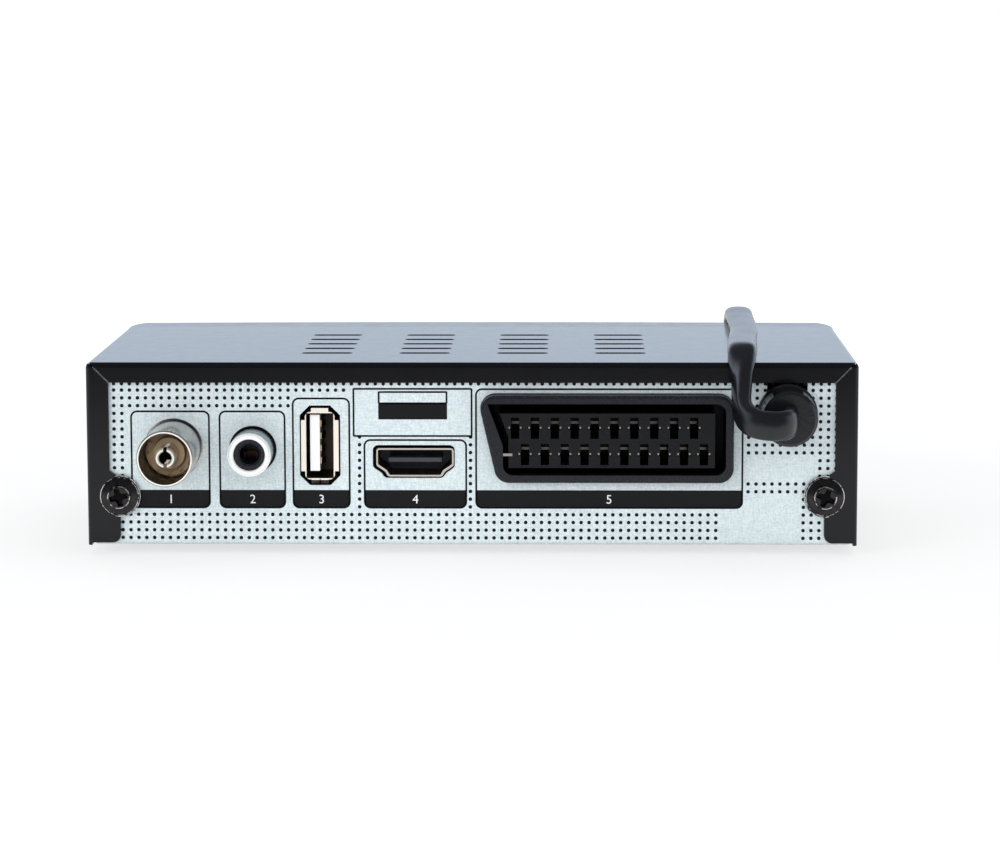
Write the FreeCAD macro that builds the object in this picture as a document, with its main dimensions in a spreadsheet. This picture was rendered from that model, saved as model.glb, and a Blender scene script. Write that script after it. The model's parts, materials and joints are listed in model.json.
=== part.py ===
"""Set-top television receiver: folded steel case, sockets, boards, sprung buttons and mains lead.

The row frame has +Z up and the front facing -Y. The origin lies on the floor, midway between the
sides and midway between the front moulding and the aerial socket's rim. All lengths are in mm.
"""
import FreeCAD, Part

import math
import os

import Sketcher

Vector = FreeCAD.Vector
OUT = "parts"

doc = FreeCAD.newDocument("Receiver")
sheet = doc.addObject("Spreadsheet::Sheet", "Sizes")

DRIVING = {
    # the case
    "box_width": 148.5,
    "box_height": 35.5,
    "box_depth": 74.8,
    "sheet": 0.8,
    "bend": 1.0,
    "fit_gap": 0.15,
    "foot_height": 2.0,
    "foot_radius": 4.5,
    "foot_side_inset": 15.0,
    "foot_rear_inset": 17.5,
    "foot_front_inset": 9.5,
    # the cover's rear flange, ears and vents
    "flange_top": 3.85,
    "flange_side": 4.4,
    "flange_low": 6.4,
    "flange_low_height": 6.0,
    "flange_lift": 0.5,
    "flange_corner": 1.6,
    "mitre_slit": 0.2,
    "ear_radius": 4.05,
    "ear_shoulder": 4.9,
    "vent_length": 10.0,
    "vent_width": 2.3,
    "vent_group_pitch": 19.2,
    "vent_row_pitch": 8.1,
    "vent_groups": 4,
    "vent_rows": 5,
    "vent_rear_inset": 16.6,
    "floor_vent_pitch": 7.0,
    "floor_vent_rows": 6,
    "floor_vent_columns": 3,
    "floor_vent_column_pitch": 16.0,
    # screws
    "screw_side_inset": 6.3,
    "screw_level": 9.6,
    "screw_head_radius": 3.75,
    "screw_rim": 0.6,
    "screw_dome": 1.5,
    "screw_shank_radius": 1.4,
    "screw_shank": 6.0,
    "screw_play": 0.05,
    "cross_arm": 1.75,
    "cross_width": 0.95,
    "cross_heart": 0.85,
    "cross_depth": 1.2,
    # the pan
    "pan_side": 8.0,
    "pan_front": 7.0,
    "standoff_height": 4.2,
    "standoff_radius": 2.6,
    # the front moulding
    "front_depth": 10.5,
    "front_bow": 1.6,
    "front_corner_width": 2.6,
    "front_corner_radius": 13.0,
    "front_wall": 2.0,
    "front_edge_round": 0.9,
    "post_radius": 2.2,
    "window_x": 8.0,
    "window_width": 70.0,
    "window_height": 17.0,
    "window_corner": 2.5,
    "window_thick": 1.4,
    "window_recess": 2.0,
    "window_lip": 2.0,
    "panel_centre": 18.2,
    # the buttons
    "power_x": 60.0,
    "channel_up_x": 46.5,
    "channel_down_x": 35.5,
    "key_width": 8.0,
    "key_height": 5.0,
    "key_corner": 1.6,
    "power_radius": 4.6,
    "button_play": 0.25,
    "button_proud": 1.1,
    "button_travel": 0.5,
    "collar_reach": 1.1,
    "collar_thick": 1.0,
    "collar_gap": 0.1,
    "plunger_radius": 1.4,
    "plunger_length": 1.0,
    "switch_gap": 0.1,
    "switch_size": 6.0,
    "switch_body": 3.4,
    "switch_stem_radius": 1.7,
    "switch_stem": 0.9,
    # the boards
    "board": 1.2,
    "board_rear_gap": 0.5,
    "board_front_gap": 2.0,
    "board_side_gap": 1.8,
    "socket_strip": 22.0,
    "power_board_width": 51.5,
    "power_board_gap": 1.4,
    "front_board_width": 118.0,
    "front_board_low": 9.5,
    "front_board_high": 28.5,
    # what stands on the boards
    "processor_side": 17.0,
    "processor_height": 1.4,
    "sink_side": 22.0,
    "sink_plate": 2.0,
    "sink_fin": 1.1,
    "sink_fin_height": 7.0,
    "sink_fin_count": 6,
    "capacitor_height": 11.5,
    "core_width": 16.0,
    "core_length": 19.0,
    "bobbin_width": 20.0,
    "bobbin_foot": 3.0,
    "winding_height": 11.0,
    "bulk_height": 21.0,
    "bulk_radius": 6.3,
    "fuse_radius": 2.6,
    "fuse_length": 20.0,
    "header_height": 8.0,
    # aerial socket
    "antenna_share": 0.774,
    "antenna_level": 18.92,
    "antenna_reach": 15.5,
    "antenna_radius": 5.38,
    "antenna_wall": 0.45,
    "antenna_hole": 5.72,
    "antenna_floor": 4.0,
    "antenna_contact_radius": 1.95,
    "antenna_contact_bore": 1.2,
    "antenna_contact_slit": 0.7,
    "antenna_boss": 3.2,
    "antenna_notch": 0.4,
    "antenna_notch_count": 12,
    "tuner_width": 17.0,
    "tuner_depth": 36.0,
    "tuner_height": 19.5,
    "tuner_shift": 1.5,
    # digital audio socket
    "coax_share": 0.5684,
    "coax_level": 18.6,
    "coax_reach": 8.0,
    "coax_radius": 4.15,
    "coax_wall": 1.15,
    "coax_step": 0.2,
    "coax_hole": 4.6,
    "coax_bore": 1.9,
    "coax_bore_depth": 7.0,
    "coax_contact_length": 2.6,
    "coax_block_width": 9.5,
    "coax_block_depth": 11.0,
    "coax_block_height": 11.0,
    # USB socket, standing on its end
    "usb_share": 0.3933,
    "usb_level": 19.4,
    "usb_width": 5.12,
    "usb_height": 12.5,
    "usb_wall": 0.3,
    "usb_depth": 14.0,
    "usb_proud": 0.5,
    "usb_cut_width": 7.8,
    "usb_cut_height": 15.5,
    "usb_cut_chamfer": 1.9,
    "usb_lip": 0.75,
    "usb_tongue": 1.84,
    "usb_tongue_height": 10.9,
    "usb_tongue_shift": 1.0,
    "usb_tongue_lift": 0.45,
    "usb_contact_pitch": 2.4,
    "usb_contact_width": 1.2,
    # HDMI socket
    "hdmi_share": 0.1468,
    "hdmi_level": 16.15,
    "hdmi_width": 14.9,
    "hdmi_height": 5.5,
    "hdmi_foot_width": 10.4,
    "hdmi_shoulder": 2.1,
    "hdmi_wall": 0.3,
    "hdmi_corner": 0.6,
    "hdmi_depth": 11.0,
    "hdmi_knee": 0.55,
    "hdmi_knee_height": 0.95,
    "hdmi_cut_gap": 0.45,
    "hdmi_cut_shift": 0.25,
    "hdmi_tongue_width": 10.2,
    "hdmi_tongue": 0.8,
    "hdmi_contact_pitch": 0.5,
    "hdmi_contact_count": 19,
    # SCART socket
    "scart_share": 0.3461,
    "scart_width": 49.2,
    "scart_low": 12.6,
    "scart_high": 29.4,
    "scart_slant": 3.9,
    "scart_corner": 2.8,
    "scart_proud": 3.6,
    "scart_depth": 15.5,
    "scart_wall": 1.5,
    "scart_cavity": 14.0,
    "scart_block_step": 1.0,
    "scart_pitch": 3.81,
    "scart_row_pitch": 5.08,
    "scart_count": 10,
    "scart_slot_width": 1.6,
    "scart_slot_height": 4.1,
    "scart_cross_width": 2.7,
    "scart_cross_height": 0.6,
    "scart_slot_depth": 9.0,
    "scart_first": 17.0,
    "scart_top_row": 23.1,
    "scart_block_end": 1.26,
    "scart_block_edge": 2.85,
    "scart_knee": 7.2,
    "scart_rim": 0.5,
    "scart_leaf": 0.3,
    "scart_leaf_below": 0.8,
    # strain relief and mains lead
    "relief_share": 0.8162,
    "relief_drop": 9.7,
    "relief_notch": 3.9,
    "relief_flange": 5.75,
    "relief_step": 5.45,
    "relief_neck_play": 0.15,
    "relief_disc": 5.3,
    "relief_reach": 10.0,
    "relief_inner": 5.4,
    "cord_diameter": 5.6,
    "core_diameter": 2.2,
    "coil_outer": 36.0,
    "coil_inner": 26.0,
    "coil_height": 11.6,
    "coil_first_tail": 20.0,
    "coil_last_tail": 22.0,
    "plug_length": 35.0,
    "plug_width": 35.3,
    "plug_thick": 13.7,
    "plug_neck": 4.0,
    "pin_radius": 2.0,
    "pin_length": 19.0,
    "pin_pitch": 18.6,
}


class Size:
    """A length that carries both its number and the sheet expression that gives it."""

    def __init__(self, number, words):
        self.number = number
        self.words = words

    def __add__(self, other):
        other = as_size(other)
        return Size(self.number + other.number, f"({self.words} + {other.words})")

    def __sub__(self, other):
        other = as_size(other)
        return Size(self.number - other.number, f"({self.words} - {other.words})")

    def __mul__(self, other):
        other = as_size(other)
        return Size(self.number * other.number, f"({self.words} * {other.words})")

    def __truediv__(self, other):
        other = as_size(other)
        return Size(self.number / other.number, f"({self.words} / {other.words})")

    def __neg__(self):
        return Size(-self.number, f"(-1 * {self.words})")

    def __radd__(self, other):
        return as_size(other) + self

    def __rsub__(self, other):
        return as_size(other) - self

    def __rmul__(self, other):
        return as_size(other) * self


def as_size(value):
    """A plain number as a Size, and a Size as it is."""
    if isinstance(value, Size):
        return value
    return Size(float(value), f"({float(value)!r})")


class Sizes:
    """The sheet's sizes by name."""


S = Sizes()
for row, (alias, amount) in enumerate(DRIVING.items(), start=1):
    sheet.set(f"A{row}", alias)
    sheet.set(f"B{row}", str(amount))
    sheet.setAlias(f"B{row}", alias)
    setattr(S, alias, Size(float(amount), f"Sizes.{alias}"))
doc.recompute()

PARTS = []
FRONT_TO_BACK = "XZ_Plane"
FLAT = "XY_Plane"
SIDE = "YZ_Plane"


# ---------------------------------------------------------------- drawing loops in a sketch


def hold(sketch, kind, *what, size):
    """Add a dimension to a sketch and tie it to the sheet."""
    index = sketch.addConstraint(Sketcher.Constraint(kind, *what, size.number))
    sketch.setExpression(f"Constraints[{index}]", size.words)


def shape(points):
    """A closed loop. Each point is (across, up) or (across, up, radius, side) for an arc to the next.

    side is +1 if the arc's centre lies to the left of the way to the next point, and -1 if to the right.
    """
    points = [tuple(as_size(v) for v in p[:3]) + tuple(p[3:]) for p in points]

    def draw(sketch):
        ends = []
        for here, after in zip(points, points[1:] + points[:1]):
            a = Vector(here[0].number, here[1].number, 0)
            b = Vector(after[0].number, after[1].number, 0)
            if len(here) == 2:
                ends.append((sketch.addGeometry(Part.LineSegment(a, b), False), 1, 2))
                continue
            radius, side = here[2], here[3]
            way = b - a
            reach = math.sqrt(max(radius.number**2 - (way.Length / 2) ** 2, 0.0))
            centre = (a + b) / 2 + Vector(-way.y, way.x, 0).normalize() * reach * side
            turn = (a, b) if side > 0 else (b, a)
            angles = [math.atan2(p.y - centre.y, p.x - centre.x) for p in turn]
            circle = Part.Circle(centre, Vector(0, 0, 1), radius.number)
            arc = sketch.addGeometry(Part.ArcOfCircle(circle, angles[0], angles[1]), False)
            ends.append((arc, 1, 2) if side > 0 else (arc, 2, 1))
        for i, (index, _, end) in enumerate(ends):
            after, start, _ = ends[(i + 1) % len(ends)]
            sketch.addConstraint(Sketcher.Constraint("Coincident", index, end, after, start))
        for (index, start, _), point in zip(ends, points):
            hold(sketch, "DistanceX", index, start, size=point[0])
            hold(sketch, "DistanceY", index, start, size=point[1])
            if len(point) > 2:
                hold(sketch, "Radius", index, size=point[2])

    return draw


def box(left, right, low, high):
    """An upright rectangle."""
    return shape([(left, low), (right, low), (right, high), (left, high)])


def round_box(x, y, width, height, radius):
    """A rectangle about (x, y) with rounded corners."""
    width, height, radius, x, y = (as_size(v) for v in (width, height, radius, x, y))
    right, top = width / 2, height / 2
    return shape(
        [
            (x - right + radius, y - top),
            (x + right - radius, y - top, radius, 1),
            (x + right, y - top + radius),
            (x + right, y + top - radius, radius, 1),
            (x + right - radius, y + top),
            (x - right + radius, y + top, radius, 1),
            (x - right, y + top - radius),
            (x - right, y - top + radius, radius, 1),
        ]
    )


def disc(x, y, radius):
    """A circle."""
    x, y, radius = (as_size(v) for v in (x, y, radius))

    def draw(sketch):
        centre = Vector(x.number, y.number, 0)
        index = sketch.addGeometry(Part.Circle(centre, Vector(0, 0, 1), radius.number), False)
        hold(sketch, "DistanceX", index, 3, size=x)
        hold(sketch, "DistanceY", index, 3, size=y)
        hold(sketch, "Radius", index, size=radius)

    return draw


# ---------------------------------------------------------------- features of a body


def new_body(label, x=0, y=0, z=0):
    """An empty PartDesign body whose place follows the sheet."""
    body = doc.addObject("PartDesign::Body", label)
    body.Label = label
    return placed(body, x, y, z)


def placed(item, x=0, y=0, z=0):
    """Tie an object's place to the sheet and list it as a sub-part."""
    for axis, value in zip("xyz", (x, y, z)):
        item.setExpression(f"Placement.Base.{axis}", as_size(value).words)
    PARTS.append(item)
    return item


def sketch_on(body, name, role, level, loops):
    """A sketch on one of the body's own planes, at a level along that plane's axis."""
    sketch = body.newObject("Sketcher::SketchObject", f"{body.Label}_{name}_sketch")
    plane = next(f for f in body.Origin.OriginFeatures if f.Role == role)
    sketch.AttachmentSupport = [(plane, "")]
    sketch.MapMode = "FlatFace"
    level = as_size(level)
    height = -level if role == FRONT_TO_BACK else level
    sketch.setExpression("AttachmentOffset.Base.z", height.words)
    for draw in loops:
        draw(sketch)
    return sketch


def add(body, name, role, level, length, *loops):
    """Pad loops from a level towards the plane's positive axis."""
    pad = body.newObject("PartDesign::Pad", f"{body.Label}_{name}")
    pad.Profile = sketch_on(body, name, role, level, loops)
    pad.setExpression("Length", as_size(length).words)
    pad.Reversed = role == FRONT_TO_BACK
    return pad


def cut(body, name, role, level, length, *loops):
    """Pocket loops from a level towards the plane's positive axis."""
    pocket = body.newObject("PartDesign::Pocket", f"{body.Label}_{name}")
    pocket.Profile = sketch_on(body, name, role, level, loops)
    pocket.setExpression("Length", as_size(length).words)
    pocket.Reversed = role != FRONT_TO_BACK
    return pocket


def turned(body, name, loop, axis="H_Axis", role=SIDE, groove=False):
    """Revolve a profile about one of its sketch's axes; by default about the body's Y axis."""
    kind = "PartDesign::Groove" if groove else "PartDesign::Revolution"
    feature = body.newObject(kind, f"{body.Label}_{name}")
    sketch = sketch_on(body, name, role, 0, [loop])
    feature.Profile = sketch
    feature.ReferenceAxis = (sketch, [axis])
    feature.Angle = 360
    return feature


def pattern(body, name, feature, first, second=None):
    """Repeat a feature in rows; first and second are (axis role, pitch, count)."""
    rows = body.newObject("PartDesign::LinearPattern", f"{body.Label}_{name}")
    rows.Originals = [feature]
    for suffix, run in (("", first), ("2", second)):
        if run is None:
            continue
        role, pitch, count = run
        axis = next(f for f in body.Origin.OriginFeatures if f.Role == role)
        setattr(rows, f"Direction{suffix}", (axis, [""]))
        rows.setExpression(f"Length{suffix}", (pitch * (count - 1)).words)
        rows.setExpression(f"Occurrences{suffix}", count.words)
    body.Tip = rows
    return rows


def rounded(body, name, radius, wanted, kind="Fillet"):
    """Fillet or chamfer the edges of the body's tip for which wanted(edge) holds."""
    doc.recompute()
    base = body.Tip
    edges = []
    for i, edge in enumerate(base.Shape.Edges, start=1):
        if not edge.Degenerated and wanted(edge):
            edges.append(f"Edge{i}")
    feature = body.newObject(f"PartDesign::{kind}", f"{body.Label}_{name}")
    feature.Base = (base, edges)
    feature.setExpression("Radius" if kind == "Fillet" else "Size", as_size(radius).words)
    return feature


def runs_along(edge, axis):
    """True for a straight edge along an axis, 'x', 'y' or 'z'."""
    if not isinstance(edge.Curve, Part.Line):
        return False
    return abs(abs(getattr(edge.Curve.Direction, axis)) - 1) < 1e-6


def near(value, size):
    """True if a measured value equals a size."""
    return abs(value - as_size(size).number) < 1e-4


def at_corner(edge, points):
    """True for an edge along y that stands at one of the points, each given as (x, z)."""
    if not runs_along(edge, "y"):
        return False
    centre = edge.CenterOfMass
    return any(near(centre.x, x) and near(centre.z, z) for x, z in points)


def block(label, x, y, z, length, width, height):
    """A plain Part box, centred on x and y and standing on z."""
    item = doc.addObject("Part::Box", label)
    item.Label = label
    for name, size in (("Length", length), ("Width", width), ("Height", height)):
        item.setExpression(name, as_size(size).words)
    return placed(item, x - as_size(length) / 2, y - as_size(width) / 2, z)


# ---------------------------------------------------------------- places that several pieces share

rear = (S.box_depth - S.antenna_reach) / 2
front = rear - S.box_depth
joint_line = front + S.front_depth
case_base = S.foot_height
half_width = S.box_width / 2
pan_half = half_width - S.sheet - S.fit_gap
cover_inside = S.box_height - S.sheet
cover_length = S.box_depth - S.front_depth + S.sheet
screw_x = half_width - S.screw_side_inset
antenna_x = half_width * S.antenna_share
coax_x = half_width * S.coax_share
usb_x = half_width * S.usb_share
hdmi_x = half_width * S.hdmi_share
scart_x = -half_width * S.scart_share
board_top = S.sheet + S.standoff_height + S.board
board_rear = -S.sheet - S.board_rear_gap
board_front = S.front_depth - S.box_depth + S.sheet + S.board_front_gap
board_side = pan_half - S.board_side_gap
strip_front = board_rear - S.socket_strip
relief_x = -half_width * S.relief_share
strip_left = relief_x + 8.5
power_left = -board_side
power_right = -board_side + S.power_board_width
inner_front = S.front_bow + S.front_wall
board_face = (
    inner_front
    + S.collar_gap
    + S.collar_thick
    + S.plunger_length
    + S.button_travel
    + S.switch_gap
    + S.switch_stem
    + S.switch_body
)
relief_level = S.box_height - S.relief_drop
main_left = power_right + S.power_board_gap
power_rear = strip_front - S.power_board_gap
screw_row = S.front_depth - S.box_depth + 6.8
MAIN_SCREWS = (
    (pan_half - 5.3, screw_row),
    (main_left + 4.1, screw_row),
    (as_size(22.6), board_rear - 3.3),
    (as_size(-48.5), strip_front + 3.1),
)
POWER_SCREWS = (
    (power_left + 4.0, power_rear - 3.3),
    (power_left + 4.0, screw_row),
    (power_right - 4.0, screw_row),
)
FRONT_SCREWS = ((-52.0, 25.0), (-52.0, 12.5), (54.0, 25.8), (22.0, 12.0))


# ---------------------------------------------------------------- the case


def make_top_cover():
    """Painted U-shaped cover, folded round the rear panel, with mitred flanges, ears and vents."""
    body = new_body("top_cover", 0, rear + S.sheet, case_base)
    blank = box(-half_width, half_width, 0, S.box_height)
    add(body, "blank", FRONT_TO_BACK, -cover_length, cover_length, blank)

    def folded(edge):
        centre = edge.CenterOfMass
        if runs_along(edge, "y"):
            return near(centre.z, S.box_height)
        if runs_along(edge, "x"):
            return near(centre.z, S.box_height) and near(centre.y, 0)
        return runs_along(edge, "z") and near(centre.y, 0)

    rounded(body, "bends", S.bend, folded)
    hollow = box(-half_width + S.sheet, half_width - S.sheet, -1, cover_inside)
    cut(body, "hollow", FRONT_TO_BACK, -cover_length - 1, cover_length + 1 - S.sheet, hollow)

    wide = half_width - S.flange_side
    low = half_width - S.flange_low
    inside = half_width - S.sheet
    top = S.box_height - S.flange_top
    opening = shape(
        [
            (-inside, -1),
            (inside, -1),
            (inside, S.flange_lift),
            (low, S.flange_lift),
            (low, S.flange_low_height),
            (wide, S.flange_low_height),
            (wide, top),
            (-wide, top),
            (-wide, S.flange_low_height),
            (-low, S.flange_low_height),
            (-low, S.flange_lift),
            (-inside, S.flange_lift),
        ]
    )
    cut(body, "panel_opening", FRONT_TO_BACK, -S.sheet - 0.5, S.sheet + 1, opening)
    crest = screw_x + 0.4
    for name, side in (("left", -1), ("right", 1)):
        ear = disc(side * screw_x, S.screw_level, S.ear_radius)
        add(body, f"{name}_ear", FRONT_TO_BACK, -S.sheet, S.sheet, ear)
        shoulder = shape(
            [
                (side * (wide + 0.5), S.screw_level),
                (side * (wide + 0.5), S.screw_level + S.ear_shoulder),
                (side * wide, S.screw_level + S.ear_shoulder),
                (side * crest, S.screw_level + S.ear_radius - 0.1),
                (side * crest, S.screw_level),
            ]
        )
        add(body, f"{name}_shoulder", FRONT_TO_BACK, -S.sheet, S.sheet, shoulder)
    rounded(
        body,
        "flange_corners",
        S.flange_corner,
        lambda e: at_corner(e, [(low, S.flange_lift), (-low, S.flange_lift)]),
    )
    holes = [disc(side * screw_x, S.screw_level, S.screw_shank_radius + S.screw_play) for side in (-1, 1)]
    cut(body, "screw_holes", FRONT_TO_BACK, -S.sheet - 0.5, S.sheet + 1, *holes)

    slit = S.mitre_slit / 2
    reach = S.flange_side - S.sheet
    for name, side in (("left_mitre", -1), ("right_mitre", 1)):
        inner_x, outer_x = side * wide, side * (wide + reach)
        outer_z = top + reach
        corner = shape(
            [
                (inner_x - side * slit, top - slit),
                (inner_x + side * slit, top - slit),
                (outer_x + side * slit, outer_z - slit),
                (outer_x - side * slit, outer_z + slit),
                (inner_x - side * slit, top + slit),
            ]
        )
        cut(body, name, FRONT_TO_BACK, -S.sheet - 0.1, S.sheet + 1, corner)

    first_x = -S.vent_group_pitch * (S.vent_groups - 1) / 2
    first_y = -S.vent_rear_inset - S.vent_row_pitch * (S.vent_rows - 1)
    slot = round_box(first_x, first_y, S.vent_length, S.vent_width, S.vent_width * 0.45)
    vent = cut(body, "vent", FLAT, cover_inside - 0.5, S.sheet + 1, slot)
    pattern(
        body,
        "vents",
        vent,
        ("X_Axis", S.vent_group_pitch, S.vent_groups),
        ("Y_Axis", S.vent_row_pitch, S.vent_rows),
    )


def scart_outline(grow):
    """The four corners of the SCART hood in the rear panel's plane, grown all round."""
    near_x = scart_x + S.scart_width / 2 + grow
    far_x = scart_x - S.scart_width / 2 - grow
    low, high = S.scart_low - grow, S.scart_high + grow
    return [(far_x, low), (near_x - S.scart_slant, low), (near_x, high), (far_x, high)]


def hdmi_outline(grow):
    """The HDMI shell's outline about its own centre, with its narrowed lower half, grown all round."""
    grow = as_size(grow)
    half, foot = S.hdmi_width / 2 + grow, S.hdmi_foot_width / 2 + grow
    low, high = -S.hdmi_height / 2 - grow, S.hdmi_height / 2 + grow
    shoulder = low + S.hdmi_shoulder
    knee_x, knee_z = foot + S.hdmi_knee, low + S.hdmi_knee_height
    right = [(foot, low), (knee_x, knee_z), (half, shoulder), (half, high)]
    return right + [(-x, z) for x, z in reversed(right)]


def octagon(x, y, width, height, chamfer):
    """A rectangle about (x, y) with its corners cut off."""
    x, y, right, top = as_size(x), as_size(y), width / 2, height / 2
    return shape(
        [
            (x - right + chamfer, y - top),
            (x + right - chamfer, y - top),
            (x + right, y - top + chamfer),
            (x + right, y + top - chamfer),
            (x + right - chamfer, y + top),
            (x - right + chamfer, y + top),
            (x - right, y + top - chamfer),
            (x - right, y - top + chamfer),
        ]
    )


def make_base_pan():
    """Galvanised pan: floor, side and front walls, and the rear panel with its socket cut-outs."""
    body = new_body("base_pan", 0, rear, case_base)
    length = S.box_depth - S.front_depth
    add(body, "floor", FLAT, 0, S.sheet, box(-pan_half, pan_half, -length, 0))
    panel_top = cover_inside - S.fit_gap
    add(body, "rear_panel", FRONT_TO_BACK, -S.sheet, S.sheet, box(-pan_half, pan_half, 0, panel_top))
    add(body, "front_wall", FRONT_TO_BACK, -length, S.sheet, box(-pan_half, pan_half, 0, S.pan_front))
    add(body, "left_wall", SIDE, -pan_half, S.sheet, box(-length, 0, 0, S.pan_side))
    add(body, "right_wall", SIDE, pan_half - S.sheet, S.sheet, box(-length, 0, 0, S.pan_side))
    spots = [disc(x, y, S.standoff_radius) for x, y in MAIN_SCREWS + POWER_SCREWS]
    add(body, "standoffs", FLAT, S.sheet, S.standoff_height, *spots)
    pilots = [disc(x, y, S.screw_shank_radius + S.screw_play) for x, y in MAIN_SCREWS + POWER_SCREWS]
    cut(body, "standoff_holes", FLAT, S.sheet, S.standoff_height + 1, *pilots)
    rounded(
        body,
        "bends",
        S.bend,
        lambda e: near(e.CenterOfMass.z, 0)
        and (
            (runs_along(e, "x") and (near(e.CenterOfMass.y, 0) or near(e.CenterOfMass.y, -length)))
            or (runs_along(e, "y") and near(abs(e.CenterOfMass.x), pan_half))
        ),
    )
    shift = S.hdmi_cut_shift
    hdmi_hole = [
        (x + hdmi_x + shift, z + S.hdmi_level + shift / 2) for x, z in hdmi_outline(S.hdmi_cut_gap)
    ]
    scart_hole = scart_outline(S.fit_gap)
    screws = [disc(side * screw_x, S.screw_level, S.screw_shank_radius + S.screw_play) for side in (-1, 1)]
    cut(
        body,
        "socket_holes",
        FRONT_TO_BACK,
        -S.sheet - 1,
        S.sheet + 2,
        disc(antenna_x, S.antenna_level, S.antenna_hole),
        disc(coax_x, S.coax_level, S.coax_hole),
        octagon(usb_x, S.usb_level, S.usb_cut_width, S.usb_cut_height, S.usb_cut_chamfer),
        shape(hdmi_hole),
        shape(scart_hole),
        *screws,
    )
    rounded(body, "hdmi_hole_corners", S.hdmi_corner + S.hdmi_cut_gap, lambda e: at_corner(e, hdmi_hole))
    rounded(body, "scart_hole_corners", S.scart_corner + S.fit_gap, lambda e: at_corner(e, scart_hole))
    notch = S.relief_notch
    notch_top = cover_inside + 1
    cut(
        body,
        "lead_notch",
        FRONT_TO_BACK,
        -S.sheet - 1,
        S.sheet + 2,
        shape(
            [
                (relief_x - notch, relief_level, notch, 1),
                (relief_x, relief_level - notch, notch, 1),
                (relief_x + notch, relief_level),
                (relief_x + notch, notch_top),
                (relief_x - notch, notch_top),
            ]
        ),
    )
    first_x = -S.floor_vent_column_pitch * (S.floor_vent_columns - 1) / 2
    first_y = -length / 2 - S.floor_vent_pitch * (S.floor_vent_rows - 1) / 2
    slot = round_box(first_x, first_y, S.vent_length, S.vent_width, S.vent_width * 0.45)
    vent = cut(body, "floor_vent", FLAT, -1, S.sheet + 2, slot)
    pattern(
        body,
        "floor_vents",
        vent,
        ("X_Axis", S.floor_vent_column_pitch, S.floor_vent_columns),
        ("Y_Axis", S.floor_vent_pitch, S.floor_vent_rows),
    )


def make_feet():
    """Four round rubber feet under the pan."""
    across = half_width - S.foot_side_inset
    places = {
        "foot_rear_left": (-across, rear - S.foot_rear_inset),
        "foot_rear_right": (across, rear - S.foot_rear_inset),
        "foot_front_left": (-across, joint_line + S.foot_front_inset),
        "foot_front_right": (across, joint_line + S.foot_front_inset),
    }
    for label, (x, y) in places.items():
        body = new_body(label, x, y, 0)
        add(body, "pad", FLAT, 0, S.foot_height, disc(0, 0, S.foot_radius))
        rounded(body, "rim", S.foot_height / 4, lambda e: near(e.CenterOfMass.z, 0))


def screw(body):
    """Washer-head screw along +Y: sloped washer, raised middle with a cross recess."""
    rim, head, top = S.screw_rim, S.screw_head_radius, S.screw_rim + S.screw_dome
    profile = shape(
        [
            (-S.screw_shank, 0),
            (top, 0),
            (top, head * 0.5),
            (top - 0.25, head * 0.58),
            (rim + 0.5, head * 0.62),
            (rim + 0.4, head * 0.66),
            (rim + 0.1, head * 0.93),
            (rim - 0.15, head),
            (0, head),
            (0, S.screw_shank_radius),
            (-S.screw_shank + 0.8, S.screw_shank_radius),
            (-S.screw_shank, 0.4),
        ]
    )
    turned(body, "turned", profile)
    arm, half, heart = S.cross_arm, S.cross_width / 2, S.cross_heart
    quarter = [(arm, half), (heart, half + 0.1), (half + 0.1, heart), (half, arm)]
    cross = quarter
    for _ in range(3):
        quarter = [(-z, x) for x, z in quarter]
        cross = cross + quarter
    cut(body, "cross", FRONT_TO_BACK, top - S.cross_depth, S.cross_depth + 1, shape(cross))


def make_cover_screws():
    """Two cover screws through the flange's ears, each driven home at its own angle."""
    for label, side, turn in (("cover_screw_left", 1, 14), ("cover_screw_right", -1, -22)):
        body = new_body(label, side * screw_x, rear + S.sheet, case_base + S.screw_level)
        screw(body)
        body.Placement.Rotation = FreeCAD.Rotation(Vector(0, 1, 0), turn)


def make_board_screws():
    """Small pan-head screws that hold the main and power boards on the pan's standoffs."""
    head, shank, top = S.screw_head_radius * 0.7, S.screw_shank_radius, S.screw_dome
    body = new_body("board_screws", 0, rear, case_base + board_top)
    places = MAIN_SCREWS + POWER_SCREWS
    add(body, "heads", FLAT, 0, top, *[disc(x, y, head) for x, y in places])
    shank_length = S.board + S.standoff_height - 0.4
    add(body, "shanks", FLAT, -shank_length, shank_length, *[disc(x, y, shank) for x, y in places])


# ---------------------------------------------------------------- the front


def front_profile():
    """Plan outline of the front moulding: bowed face and long side curves."""
    corner_y = S.front_bow
    radius, across = S.front_corner_radius, S.front_corner_radius - S.front_corner_width
    side_y = corner_y + Size(
        math.sqrt(radius.number**2 - across.number**2),
        f"sqrt({radius.words}^2 - ({across.words})^2)",
    )
    corner_x = half_width - S.front_corner_width
    bow_radius = (corner_x * corner_x + S.front_bow * S.front_bow) / (2 * S.front_bow)
    return shape(
        [
            (half_width, S.front_depth),
            (-half_width, S.front_depth),
            (-half_width, side_y, S.front_corner_radius, 1),
            (-corner_x, corner_y, bow_radius, 1),
            (corner_x, corner_y, S.front_corner_radius, 1),
            (half_width, side_y),
        ]
    )


KEYS = (("channel_up", "channel_up_x"), ("channel_down", "channel_down_x"))


def key_hole(x, y, play):
    """The outline of a channel key, grown by play all round."""
    play = as_size(play)
    return round_box(x, y, S.key_width + 2 * play, S.key_height + 2 * play, S.key_corner + play)


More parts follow.
